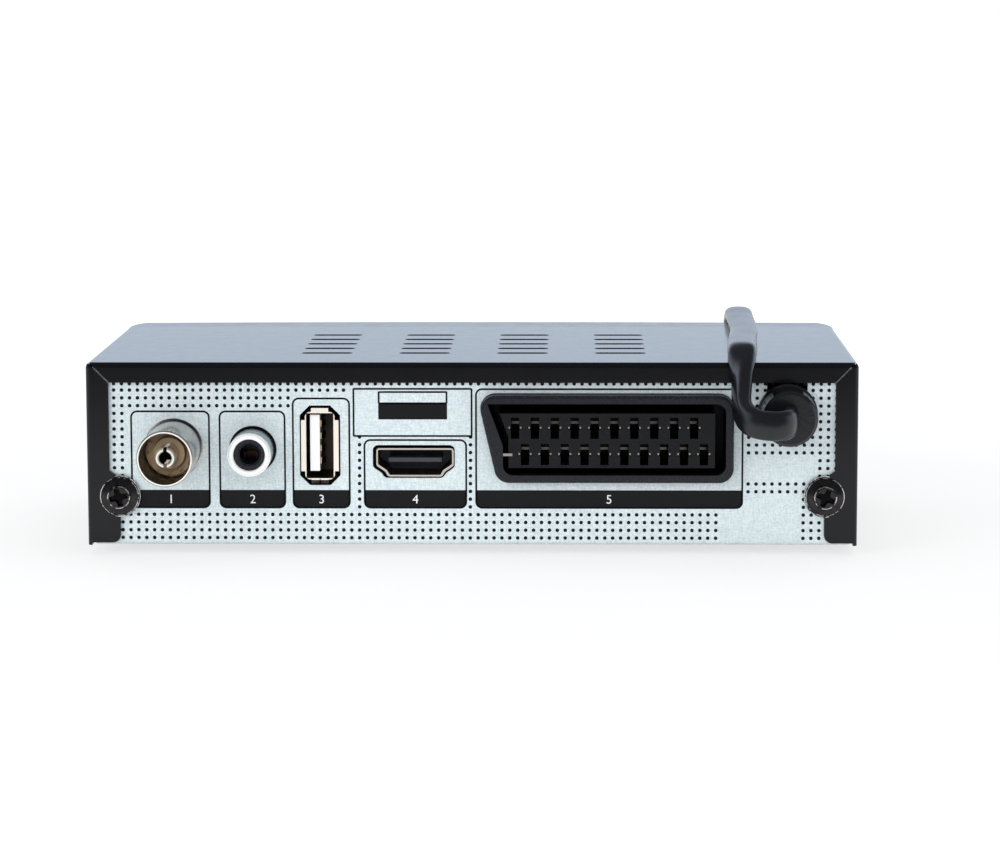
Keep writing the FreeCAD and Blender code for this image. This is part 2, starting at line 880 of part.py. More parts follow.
def make_front_panel():
    """Moulded front: bowed face, window recess, key holes and posts for the front board."""
    body = new_body("front_panel", 0, front, case_base)
    add(body, "block", FLAT, 0, S.box_height, front_profile())
    rounded(
        body,
        "edges",
        S.front_edge_round,
        lambda e: (near(e.CenterOfMass.z, 0) or near(e.CenterOfMass.z, S.box_height))
        and not near(e.CenterOfMass.y, S.front_depth),
    )
    inside = half_width - S.front_wall - S.front_edge_round
    hollow = box(-inside, inside, S.front_wall, S.box_height - S.front_wall)
    cut(body, "hollow", FRONT_TO_BACK, inner_front, S.front_depth, hollow)
    recess = round_box(
        -S.window_x,
        S.panel_centre,
        S.window_width + 2 * S.fit_gap,
        S.window_height + 2 * S.fit_gap,
        S.window_corner,
    )
    cut(body, "window_recess", FRONT_TO_BACK, -1, S.window_recess + 1, recess)
    through = round_box(
        -S.window_x,
        S.panel_centre,
        S.window_width - 2 * S.window_lip,
        S.window_height - 2 * S.window_lip,
        S.window_corner / 2,
    )
    cut(body, "window_opening", FRONT_TO_BACK, -1, inner_front + 2, through)
    keys = [key_hole(getattr(S, alias), S.panel_centre, S.button_play) for _, alias in KEYS]
    cut(
        body,
        "key_holes",
        FRONT_TO_BACK,
        -1,
        inner_front + 2,
        disc(S.power_x, S.panel_centre, S.power_radius + S.button_play),
        *keys,
    )
    posts = [disc(x, z, S.post_radius) for x, z in FRONT_SCREWS]
    add(body, "posts", FRONT_TO_BACK, inner_front, board_face - inner_front, *posts)


def make_display_window():
    """Smoked window plate, seated in the front's recess."""
    window_y = front + S.window_recess - S.window_thick
    body = new_body("display_window", -S.window_x, window_y, case_base + S.panel_centre)
    plate = round_box(0, 0, S.window_width, S.window_height, S.window_corner - S.fit_gap)
    add(body, "plate", FRONT_TO_BACK, 0, S.window_thick, plate)


def make_buttons():
    """Power and channel keys: cap through the front, collar behind it and plunger to its switch."""
    caps = {
        "power_button": (S.power_x, disc(0, 0, S.power_radius), disc(0, 0, S.power_radius + S.collar_reach)),
    }
    for name, alias in KEYS:
        caps[f"{name}_button"] = (getattr(S, alias), key_hole(0, 0, 0), key_hole(0, 0, S.collar_reach))
    cap_length = inner_front + S.collar_gap + S.button_proud
    for label, (x, cap, collar) in caps.items():
        body = new_body(label, x, front + inner_front + S.collar_gap, case_base + S.panel_centre)
        add(body, "cap", FRONT_TO_BACK, -cap_length, cap_length, cap)
        add(body, "collar", FRONT_TO_BACK, 0, S.collar_thick, collar)
        add(body, "plunger", FRONT_TO_BACK, S.collar_thick, S.plunger_length, disc(0, 0, S.plunger_radius))
        face_y = -cap_length
        rounded(
            body,
            "cap_edge",
            S.key_corner / 3,
            lambda e: near(e.BoundBox.YMin, face_y) and near(e.BoundBox.YMax, face_y),
        )


def make_front_board():
    """Front circuit board on the moulding's posts, with its display, receiver and switches."""
    middle = (S.front_board_low + S.front_board_high) / 2
    height = S.front_board_high - S.front_board_low
    body = new_body("front_board", 0, front + board_face, case_base)
    outline = round_box(1, middle, S.front_board_width, height, 1.5)
    add(body, "board", FRONT_TO_BACK, 0, S.board, outline)

    body = new_body("front_board_screws", 0, front + board_face + S.board, case_base)
    heads = [disc(x, z, S.screw_head_radius * 0.6) for x, z in FRONT_SCREWS]
    add(body, "heads", FRONT_TO_BACK, 0, S.screw_dome, *heads)

    body = new_body("key_switches", 0, front + board_face - S.switch_body, case_base + S.panel_centre)
    places = [S.power_x, S.channel_up_x, S.channel_down_x]
    half = S.switch_size / 2
    bodies = [box(x - half, x + half, -half, half) for x in places]
    add(body, "bodies", FRONT_TO_BACK, 0, S.switch_body, *bodies)
    stems = [disc(x, 0, S.switch_stem_radius) for x in places]
    add(body, "stems", FRONT_TO_BACK, -S.switch_stem, S.switch_stem, *stems)

    display_depth = board_face - inner_front - 0.3
    display_y = front + board_face - display_depth
    body = new_body("number_display", -S.window_x + 6, display_y, case_base + S.panel_centre)
    add(body, "case", FRONT_TO_BACK, 0, display_depth, box(-15.0, 15.0, -5.0, 5.0))
    digit = shape([(-13.2, -3.4), (-8.6, -3.4), (-7.8, 3.4), (-12.4, 3.4)])
    well = cut(body, "digit", FRONT_TO_BACK, -1, 1.2, digit)
    pattern(body, "digits", well, ("X_Axis", as_size(7.0), as_size(4)))

    body = new_body("remote_receiver", -S.window_x - 24, front + board_face - 5.0, case_base + S.panel_centre)
    add(body, "case", FRONT_TO_BACK, 1.5, 3.5, box(-3.0, 3.0, -3.5, 3.5))
    add(body, "lens", FRONT_TO_BACK, 0, 1.5, disc(0, 0.5, 2.4))

    body = new_body("standby_lamp", -S.window_x + 28, front + board_face - 5.4, case_base + S.panel_centre)
    dome = shape([(0, 0), (0.3, 0.9), (1.5, 1.5), (4.4, 1.5), (4.4, 1.9), (5.4, 1.9), (5.4, 0)])
    turned(body, "lens", dome)


def make_ribbon_cable():
    """Flat ribbon from the main board's front edge up to the front board."""
    start_y = board_front + 6
    rear_face = -S.box_depth + board_face + S.board
    level = board_top
    body = new_body("ribbon_cable", 21, rear, case_base)
    thick = 0.4
    strip = shape(
        [
            (start_y, level),
            (start_y + thick, level),
            (start_y + thick, level + 5.5),
            (rear_face + 2.5, level + 8.5),
            (rear_face, level + 8.5),
            (rear_face, level + 8.5 - thick),
            (rear_face + 2.3, level + 8.5 - thick),
            (start_y, level + 5.2),
        ]
    )
    add(body, "strip", SIDE, -8, 16, strip)


# ---------------------------------------------------------------- boards and what stands on them


def make_boards():
    """L-shaped main board and the separate mains power board in its notch."""
    hole = S.screw_shank_radius + S.screw_play
    level = case_base + board_top - S.board
    body = new_body("main_board", 0, rear, level)
    outline = shape(
        [
            (main_left, board_front),
            (board_side, board_front),
            (board_side, board_rear),
            (strip_left, board_rear),
            (strip_left, strip_front),
            (main_left, strip_front),
        ]
    )
    add(body, "board", FLAT, 0, S.board, outline)
    cut(body, "holes", FLAT, -1, S.board + 2, *[disc(x, y, hole) for x, y in MAIN_SCREWS])

    body = new_body("power_board", 0, rear, level)
    outline = box(power_left, power_right, board_front, power_rear)
    add(body, "board", FLAT, 0, S.board, outline)
    cut(body, "holes", FLAT, -1, S.board + 2, *[disc(x, y, hole) for x, y in POWER_SCREWS])


def make_main_board_parts():
    """Processor with its finned heat sink, memory, crystal and capacitors."""
    top = case_base + board_top
    side, half, fin = S.processor_side, S.sink_side / 2, S.sink_fin
    block("processor", as_size(20), rear - 36, top, side, side, S.processor_height)
    body = new_body("heat_sink", 20, rear - 36, top + S.processor_height)
    add(body, "plate", FLAT, 0, S.sink_plate, box(-half, half, -half, half))
    blade = add(body, "fin", FLAT, S.sink_plate, S.sink_fin_height, box(-half, fin - half, -half, half))
    count = S.sink_fin_count
    pattern(body, "fins", blade, ("X_Axis", (S.sink_side - fin) / (count - 1), count))

    body = new_body("memory_chips", 0, rear - 36, top)
    add(body, "cases", FLAT, 0, 1.1, box(-2.0, 6.0, -8.0, 5.0), box(36.0, 41.0, -6.0, 0.0))

    body = new_body("crystal", 44, rear - 50, top)
    add(body, "can", FLAT, 0, 3.6, round_box(0, 0, 11.2, 4.7, 2.2))

    body = new_body("board_capacitors", 0, rear, top)
    cans = (
        (-6.0, board_front + 9.5, 3.1),
        (4.0, board_front + 6.5, 3.1),
        (33.0, board_front + 6.5, 2.6),
        (board_side - 15.5, board_front + 5.5, 4.0),
        (-5.0, -30.0, 2.6),
    )
    add(body, "cans", FLAT, 0, S.capacitor_height, *[disc(x, y, radius) for x, y, radius in cans])


def make_power_parts():
    """Mains side: header, fuse, choke, bulk capacitor and transformer on the power board."""
    top = case_base + board_top
    body = new_body("transformer", power_left + 31.5, rear - 43, top)
    half, core = S.bobbin_width / 2, S.core_width / 2
    bobbin = S.bobbin_width * 0.4
    foot, winding = S.bobbin_foot, S.winding_height
    add(body, "core", FLAT, foot, winding, box(-core, core, -S.core_length / 2, S.core_length / 2))
    add(body, "bobbin_foot", FLAT, 0, foot, box(-half, half, -bobbin, bobbin))
    turns = round_box(0, 0, S.bobbin_width, S.bobbin_width * 0.6, half * 0.4)
    add(body, "winding", FLAT, foot, winding, turns)
    add(body, "bobbin_head", FLAT, foot + winding, foot / 2, box(-half, half, -bobbin, bobbin))

    body = new_body("bulk_capacitor", power_left + 10.5, rear - 43, top)
    add(body, "can", FLAT, 0, S.bulk_height, disc(0, 0, S.bulk_radius))
    rounded(body, "rim", 0.8, lambda e: near(e.CenterOfMass.z, S.bulk_height))

    body = new_body("line_choke", power_right - 5.2, rear - 34.0, top)
    add(body, "ring", FLAT, 0, 9, disc(0, 0, 4.6), disc(0, 0, 1.6))

    cap, glass = S.fuse_radius, S.fuse_radius - 0.2
    body = new_body("fuse", power_left + 28.5, rear - 28.0, top + cap)
    half = S.fuse_length / 2
    tube = shape(
        [
            (-half, 0),
            (-half, cap),
            (-half / 2, cap),
            (-half / 2, glass),
            (half / 2, glass),
            (half / 2, cap),
            (half, cap),
            (half, 0),
        ]
    )
    turned(body, "tube", tube, role=FRONT_TO_BACK)

    body = new_body("mains_header", relief_x + 1.4, rear - 29.0, top)
    add(body, "case", FLAT, 0, S.header_height, box(-4.5, 4.5, -3.5, 3.5))
    slots = (box(-3.4, -0.8, -2.4, 2.4), box(0.8, 3.4, -2.4, 2.4))
    cut(body, "slots", FLAT, S.header_height - 1, 2, *slots)

# ---------------------------------------------------------------- sockets


def make_antenna_socket():
    """Coaxial aerial socket: tuner can, nickel barrel with rolled rim, insulator and split contact."""
    z = case_base + S.antenna_level
    inner = S.antenna_radius - S.antenna_wall
    can_rear = board_rear
    body = new_body("tuner_can", antenna_x, rear, case_base + board_top)
    half, shift = S.tuner_width / 2, S.tuner_shift
    can = box(-half - shift, half - shift, can_rear - S.tuner_depth, can_rear)
    add(body, "can", FLAT, 0, S.tuner_height, can)
    rounded(body, "lid_edge", 0.8, lambda e: near(e.CenterOfMass.z, S.tuner_height))

    body = new_body("antenna_barrel", antenna_x, rear, z)
    lip = S.antenna_wall * 0.6
    barrel = shape(
        [
            (can_rear, S.antenna_contact_radius + 0.6),
            (can_rear, S.antenna_radius),
            (S.antenna_reach - lip, S.antenna_radius, lip, 1),
            (S.antenna_reach, S.antenna_radius - lip),
            (S.antenna_reach, inner),
            (S.antenna_floor - 0.6, inner),
            (S.antenna_floor - 0.6, S.antenna_contact_radius + 0.6),
        ]
    )
    turned(body, "turned", barrel)

    body = new_body("antenna_insulator", antenna_x, rear, z)
    bore = S.antenna_contact_radius + 0.02
    ring = shape(
        [
            (S.antenna_floor - 0.6, bore),
            (S.antenna_floor - 0.6, inner),
            (S.antenna_floor, inner),
            (S.antenna_floor, inner - 0.2),
            (S.antenna_floor + 1.4, inner - 0.4),
            (S.antenna_floor + 1.4, S.antenna_boss),
            (S.antenna_floor + 3.6, S.antenna_boss - 0.2),
            (S.antenna_floor + 3.6, bore),
        ]
    )
    turned(body, "turned", ring)
    count = int(S.antenna_notch_count.number)
    turns = [2 * math.pi * number / count for number in range(count)]
    out = inner - 0.6
    notches = [disc(out * math.cos(turn), out * math.sin(turn), S.antenna_notch) for turn in turns]
    cut(body, "notches", FRONT_TO_BACK, S.antenna_floor + 0.4, 2, *notches)

    body = new_body("antenna_contact", antenna_x, rear, z)
    radius, bore = S.antenna_contact_radius, S.antenna_contact_bore
    tip = S.antenna_reach - 1.0
    tube = shape(
        [
            (can_rear, 0),
            (can_rear, radius),
            (tip - 0.6, radius),
            (tip, radius - 0.25),
            (tip, bore + 0.25),
            (tip - 0.4, bore),
            (S.antenna_floor + 1, bore),
            (S.antenna_floor + 1, 0),
        ]
    )
    turned(body, "turned", tube)
    slit = S.antenna_contact_slit / 2
    across = box(-slit, slit, -radius - 1, radius + 1)
    cut(body, "slit", FRONT_TO_BACK, S.antenna_floor + 3.8, S.antenna_reach, across)


def make_coax_socket():
    """Phono socket: black moulded block and core, plated barrel and sprung centre contact."""
    z = case_base + S.coax_level
    inner = S.coax_radius - S.coax_wall
    low = board_top - S.coax_level
    body = new_body("coax_core", coax_x, rear, z)
    half = S.coax_block_width / 2
    block_rear = -S.sheet - S.fit_gap
    bottom = S.coax_reach - S.coax_bore_depth
    add(
        body,
        "block",
        FRONT_TO_BACK,
        block_rear - S.coax_block_depth,
        S.coax_block_depth,
        box(-half, half, low, low + S.coax_block_height + S.coax_radius + 1.5),
    )
    core = shape(
        [
            (block_rear, 0),
            (block_rear, inner),
            (S.coax_reach - 0.5, inner),
            (S.coax_reach - 0.5, S.coax_bore + 0.4),
            (S.coax_reach - 0.9, S.coax_bore),
            (bottom, S.coax_bore),
            (bottom, 0),
        ]
    )
    turned(body, "core", core)

    body = new_body("coax_barrel", coax_x, rear, z)
    barrel = shape(
        [
            (block_rear, inner),
            (block_rear, S.coax_radius - S.coax_step),
            (S.coax_step, S.coax_radius - S.coax_step),
            (S.coax_step, S.coax_radius),
            (S.coax_reach - 0.4, S.coax_radius, 0.4, 1),
            (S.coax_reach, S.coax_radius - 0.4),
            (S.coax_reach, inner + 0.3, 0.3, -1),
            (S.coax_reach - 0.3, inner),
        ]
    )
    turned(body, "turned", barrel)

    body = new_body("coax_contact", coax_x, rear, z)
    wide = S.coax_bore * 0.55
    for name, side in (("left", -1), ("right", 1)):
        blade = box(side * wide, side * (wide + 0.3), -S.coax_bore * 0.65, 0)
        add(body, name, FRONT_TO_BACK, bottom, S.coax_contact_length, blade)
    add(body, "root", FRONT_TO_BACK, bottom, 0.6, box(-wide, wide, -S.coax_bore * 0.6, 0))


def make_usb_socket():
    """USB type A socket on end: folded shell with flared lips, tongue and four contacts."""
    z = case_base + S.usb_level
    y0 = S.usb_proud - S.usb_depth
    wall, lip = S.usb_wall, S.usb_lip
    outer_width = S.usb_width + 2 * wall
    outer_height = S.usb_height + 2 * wall
    body = new_body("usb_shell", usb_x, rear, z)
    add(body, "tube", FRONT_TO_BACK, y0, S.usb_depth, round_box(0, 0, outer_width, outer_height, 1.0))
    hollow = round_box(0, 0, S.usb_width, S.usb_height, 0.7)
    cut(body, "hollow", FRONT_TO_BACK, y0 + wall, S.usb_depth, hollow)
    # flared lips: folded outward along each straight side of the mouth
    right, top = outer_width / 2, outer_height / 2
    mouth = S.usb_proud - wall
    tall = S.usb_height / 2 - 1.3
    wide = S.usb_width / 2 - 0.9
    lips = [
        box(right - wall, right + lip, -tall, tall),
        box(-right - lip, -right + wall, -tall, tall),
        box(-wide, wide, top - wall, top + lip),
        box(-wide, -0.15, -top - lip, -top + wall),
        box(0.15, wide, -top - lip, -top + wall),
    ]
    for number, loop in enumerate(lips, start=1):
        add(body, f"lip{number}", FRONT_TO_BACK, mouth, wall, loop)
    leg = S.usb_level - top - board_top
    feet = [box(-right, right, y0 + start, y0 + start + 1.5) for start in (2, 8)]
    add(body, "legs", FLAT, -top - leg, leg + wall, *feet)

    body = new_body("usb_tongue", usb_x, rear, z)
    plate_x = S.usb_tongue_shift
    half_tongue, half_height = S.usb_tongue / 2, S.usb_tongue_height / 2
    gap = as_size(0.05)
    rear_plug = round_box(0, 0, S.usb_width - 2 * gap, S.usb_height - 2 * gap, 0.65)
    add(body, "rear_block", FRONT_TO_BACK, y0 + wall, 3.0, rear_plug)
    low_end, high_end = S.usb_tongue_lift - half_height, S.usb_tongue_lift + half_height
    plate = box(plate_x - half_tongue, plate_x + half_tongue, low_end, high_end)
    add(body, "tongue", FRONT_TO_BACK, y0 + wall + 3.0, S.usb_depth - wall - 3.9, plate)

    body = new_body("usb_contacts", usb_x, rear, z)
    face = plate_x - half_tongue
    root = y0 + wall + 3.0
    spring = shape(
        [
            (face, root),
            (face, root + 8.6),
            (face - 0.25, root + 8.6),
            (face - 0.9, root + 6.4),
            (face - 0.9, root + 5.8),
            (face - 0.25, root + 2.6),
            (face - 0.25, root),
        ]
    )
    lowest = S.usb_tongue_lift - 1.5 * S.usb_contact_pitch - S.usb_contact_width / 2
    strip = add(body, "strip", FLAT, lowest, S.usb_contact_width, spring)
    pattern(body, "strips", strip, ("Z_Axis", S.usb_contact_pitch, as_size(4)))


def make_hdmi_socket():
    """HDMI type A socket: shell with shouldered outline, tongue and nineteen contacts."""
    z = case_base + S.hdmi_level
    y0 = S.hdmi_wall - S.hdmi_depth
    body = new_body("hdmi_shell", hdmi_x, rear, z)
    add(body, "tube", FRONT_TO_BACK, y0, S.hdmi_depth, shape(hdmi_outline(0)))
    inner_corners = hdmi_outline(-S.hdmi_wall)
    rounded(body, "tube_corners", S.hdmi_corner, lambda e: runs_along(e, "y"))
    cut(body, "hollow", FRONT_TO_BACK, y0 + S.hdmi_wall, S.hdmi_depth, shape(inner_corners))
    rounded(body, "hollow_corners", S.hdmi_corner - S.hdmi_wall, lambda e: at_corner(e, inner_corners))
    drop = S.hdmi_level - S.hdmi_height / 2 - board_top
    foot = S.hdmi_foot_width / 2
    add(
        body,
        "legs",
        FLAT,
        -S.hdmi_height / 2 - drop,
        drop,
        box(-foot, -foot + 0.8, y0 + 1, y0 + 9),
        box(foot - 0.8, foot, y0 + 1, y0 + 9),
    )

    body = new_body("hdmi_tongue", hdmi_x, rear, z)
    half = S.hdmi_tongue_width / 2
    lift = as_size(0.35)
    add(body, "rear_block", FRONT_TO_BACK, y0 + S.hdmi_wall, 2.5, shape(hdmi_outline(-S.hdmi_wall - 0.05)))
    rounded(body, "rear_block_corners", S.hdmi_corner - S.hdmi_wall, lambda e: runs_along(e, "y"))
    plate = box(-half, half, lift - S.hdmi_tongue / 2, lift + S.hdmi_tongue / 2)
    add(body, "tongue", FRONT_TO_BACK, y0 + S.hdmi_wall + 2.5, S.hdmi_depth - S.hdmi_wall - 3.7, plate)

    body = new_body("hdmi_contacts", hdmi_x, rear, z)
    first = -S.hdmi_contact_pitch * (S.hdmi_contact_count - 1) / 2
    under = lift - S.hdmi_tongue / 2
    strip = add(
        body,
        "strip",
        FRONT_TO_BACK,
        y0 + S.hdmi_wall + 2.5,
        S.hdmi_depth - S.hdmi_wall - 5.0,
        box(first - 0.13, first + 0.13, under - 0.15, under),
    )
    pattern(body, "strips", strip, ("X_Axis", S.hdmi_contact_pitch, S.hdmi_contact_count))


def cross_slot(x, z):
    """One SCART contact slot: an upright slot with a short bar across it."""
    x, z = as_size(x), as_size(z)
    half, bar = S.scart_slot_width / 2, S.scart_cross_width / 2
    tall, thin = S.scart_slot_height / 2, S.scart_cross_height / 2
    corners = [
        (half, -tall),
        (half, -thin),
        (bar, -thin),
        (bar, thin),
        (half, thin),
        (half, tall),
        (-half, tall),
        (-half, thin),
        (-bar, thin),
        (-bar, -thin),
        (-half, -thin),
        (-half, -tall),
    ]
    return shape([(x + dx, z + dz) for dx, dz in corners])


def sprung_contact(x, start, tip):
    """Plan outline of one SCART contact: two leaves joined at the root, about x."""
    x, leaf = as_size(x), S.scart_leaf
    out = S.scart_cross_width / 2 - 0.1
    return shape(
        [
            (x - out, start),
            (x + out, start),
            (x + out, tip),
            (x + out - leaf, tip),
            (x + out - leaf, start + 0.5),
            (x - out + leaf, start + 0.5),
            (x - out + leaf, tip),
            (x - out, tip),
        ]
    )


def make_scart_socket():
    """SCART socket: moulded hood round a contact block with two rows of cross-shaped slots."""
    body = new_body("scart_housing", 0, rear, case_base)
    back = S.scart_proud - S.scart_depth
    add(body, "hood", FRONT_TO_BACK, back, S.scart_depth, shape(scart_outline(0)))
    rounded(body, "hood_corners", S.scart_corner, lambda e: runs_along(e, "y"))
    rounded(body, "hood_rim", S.scart_rim, lambda e: near(e.CenterOfMass.y, S.scart_proud))
    wall = S.scart_wall
    near_x = scart_x + S.scart_width / 2 - wall
    far_x = scart_x - S.scart_width / 2 + wall
    low_x = near_x - S.scart_slant + 0.4
    low, high = S.scart_low + wall, S.scart_high - wall
    cavity = [
        (far_x, low),
        (low_x, low),
        (low_x, S.scart_low + S.scart_knee),
        (near_x - 0.5, high),
        (far_x, high),
    ]
    floor_y = S.scart_proud - S.scart_cavity
    cut(body, "cavity", FRONT_TO_BACK, floor_y, S.scart_cavity + 1, shape(cavity))
    round_corners = [cavity[0], cavity[1], cavity[-1]]
    rounded(body, "cavity_corners", S.scart_corner * 0.7, lambda e: at_corner(e, round_corners))

    face = S.scart_proud - S.scart_block_step
    top_row = S.scart_top_row
    bottom_row = top_row - S.scart_row_pitch
    top_first = scart_x - S.scart_first
    bottom_first = top_first - S.scart_pitch / 2
    right = top_first + S.scart_pitch * (S.scart_count - 1) + S.scart_block_end
    block_high = top_row + S.scart_block_edge
    face_block = shape(
        [
            (top_first - 4.0, bottom_row - 2.6),
            (right, bottom_row - 2.6),
            (right, block_high - 4.55),
            (right + 1.7, block_high),
            (top_first - 4.0, block_high),
        ]
    )
    add(body, "contact_block", FRONT_TO_BACK, floor_y, face - floor_y, face_block)
    step = ("X_Axis", S.scart_pitch, S.scart_count)
    depth = S.scart_slot_depth
    slot_floor = face - depth
    rows = (("top", top_first, top_row), ("low", bottom_first, bottom_row))
    for name, x, z in rows:
        slot = cut(body, f"{name}_slot", FRONT_TO_BACK, slot_floor, depth + 0.5, cross_slot(x, z))
        pattern(body, f"{name}_slots", slot, step)
    drop = S.scart_low - board_top
    feet = [box(x, x + 4, back, back + 6) for x in (far_x, near_x - 12)]
    add(body, "feet", FLAT, board_top, drop + 0.2, *feet)

    body = new_body("scart_contacts", 0, rear, case_base)
    for name, x, z in rows:
        spring = sprung_contact(x, slot_floor, face - S.scart_leaf_below)
        contact = add(body, f"{name}_contact", FLAT, z - 0.25, 0.5, spring)
        pattern(body, f"{name}_contacts", contact, step)
    shell_x = bottom_first + S.scart_pitch * S.scart_count
    shell = box(shell_x - 1.4, low_x, face, face + 0.3)
    add(body, "shell_contact", FLAT, bottom_row - 0.25, 0.5, shell)


# ---------------------------------------------------------------- mains lead


def make_strain_relief():
    """Moulded strain relief gripped in the rear panel's notch, with a stepped outer cone."""
    body = new_body("strain_relief", relief_x, rear, case_base + relief_level)
    neck = S.relief_notch - S.relief_neck_play
    inner_face = -S.sheet - S.fit_gap
    outer_face = S.fit_gap
    over_flange = S.sheet + S.fit_gap
    profile = shape(
        [
            (inner_face - 3.2, 0),
            (inner_face - 3.2, S.relief_inner - 0.6),
            (inner_face, S.relief_inner),
            (inner_face, neck),
            (outer_face, neck),
            (outer_face, S.relief_step),
            (over_flange, S.relief_step),
            (over_flange, S.relief_flange),
            (over_flange + 1.0, S.relief_flange),
            (over_flange + 1.3, S.relief_flange - 0.35),
            (over_flange + 2.3, S.relief_flange - 0.35),
            (over_flange + 2.7, S.relief_disc),
            (S.relief_reach - 0.6, S.relief_disc),
            (S.relief_reach, S.relief_disc - 0.6),
            (S.relief_reach, 0),
        ]
    )
    turned(body, "turned", profile)


def corner_arc(before, corner, after):
    """The tangent arc at a corner of a route, with a radius that its two runs allow."""
    way_in, way_out = corner - before, after - corner
    turn = way_in.getAngle(way_out)
    reach = 0.45 * min(way_in.Length, way_out.Length)
    radius = reach / math.tan(turn / 2)
    start = corner - way_in.normalize() * reach
    end = corner + way_out.normalize() * reach
    inward = (start - corner).normalize() + (end - corner).normalize()
    middle = corner + inward.normalize() * (radius / math.cos(turn / 2) - radius)
    return start, middle, end, radius


def tube_along(route, diameter):
    """A round tube along straight runs joined by tangent arcs."""
    edges = []
    last = route[0]
    radii = []
    for before, corner, after in zip(route, route[1:], route[2:]):
        start, middle, end, radius = corner_arc(before, corner, after)
        edges.append(Part.LineSegment(last, start).toShape())
        edges.append(Part.Arc(start, middle, end).toShape())
        radii.append(radius)
        last = end
    edges.append(Part.LineSegment(last, route[-1]).toShape())
    path = Part.Wire(edges)
    ring = Part.Wire([Part.Circle(route[0], route[1] - route[0], diameter / 2).toShape()])
    solid = path.makePipeShell([ring], True, True)
    if solid.ShapeType != "Solid":
        solid = Part.Solid(solid)
    wanted = path.Length * math.pi * diameter**2 / 4
    print("tube length", round(path.Length, 1), "volume share", round(solid.Volume / wanted, 5))
    print("bend radii", [round(r, 1) for r in radii])
    return solid


def at_rear(x, y, z):
    """A point given from the rear panel's outer face and the floor."""
    return Vector(x, rear.number + y, z)


# The lead's route in three runs. Each point is (x, y, z), with x from the strain relief's axis, y from
# the rear panel's outer face and z from that axis; then x and y as before and z from the case's top;
# then x as before, y from the front moulding's foremost point and z from the floor.
OUT_OF_RELIEF = (
    (0.0, 10.0, 0.0),
    (0.0, 15.2, 0.0),
    (3.0, 18.4, -0.6),
    (7.6, 17.0, -0.1),
    (9.4, 12.6, 1.8),
    (9.2, 9.2, 5.6),
)
OVER_THE_TOP = (
    (8.9, 6.2, 0.6),
    (8.8, 1.4, 4.0),
    (8.4, -7.6, 3.7),
    (7.6, -23.0, 3.2),
    (6.2, -41.0, 3.4),
    (6.0, -60.0, 3.2),
)
DOWN_THE_FRONT = (
    (5.8, -3.6, 40.9),
    (5.7, -14.4, 33.6),
    (5.9, -22.8, 10.5),
    (5.8, -33.4, 2.9),
    (5.8, -45.9, 2.9),
)
PLUG_TURN = 75  # degrees from +Y towards +X in which the plug points


def lead_route():
    """The lead's route from the strain relief to the start of the coil, in the row frame."""
    axis = (case_base + relief_level).number
    top = (case_base + S.box_height).number
    start = relief_x.number
    route = [at_rear(start + x, y, axis + z) for x, y, z in OUT_OF_RELIEF]
    route += [at_rear(start + x, y, top + z) for x, y, z in OVER_THE_TOP]
    return route + [Vector(start + x, front.number + y, z) for x, y, z in DOWN_THE_FRONT]


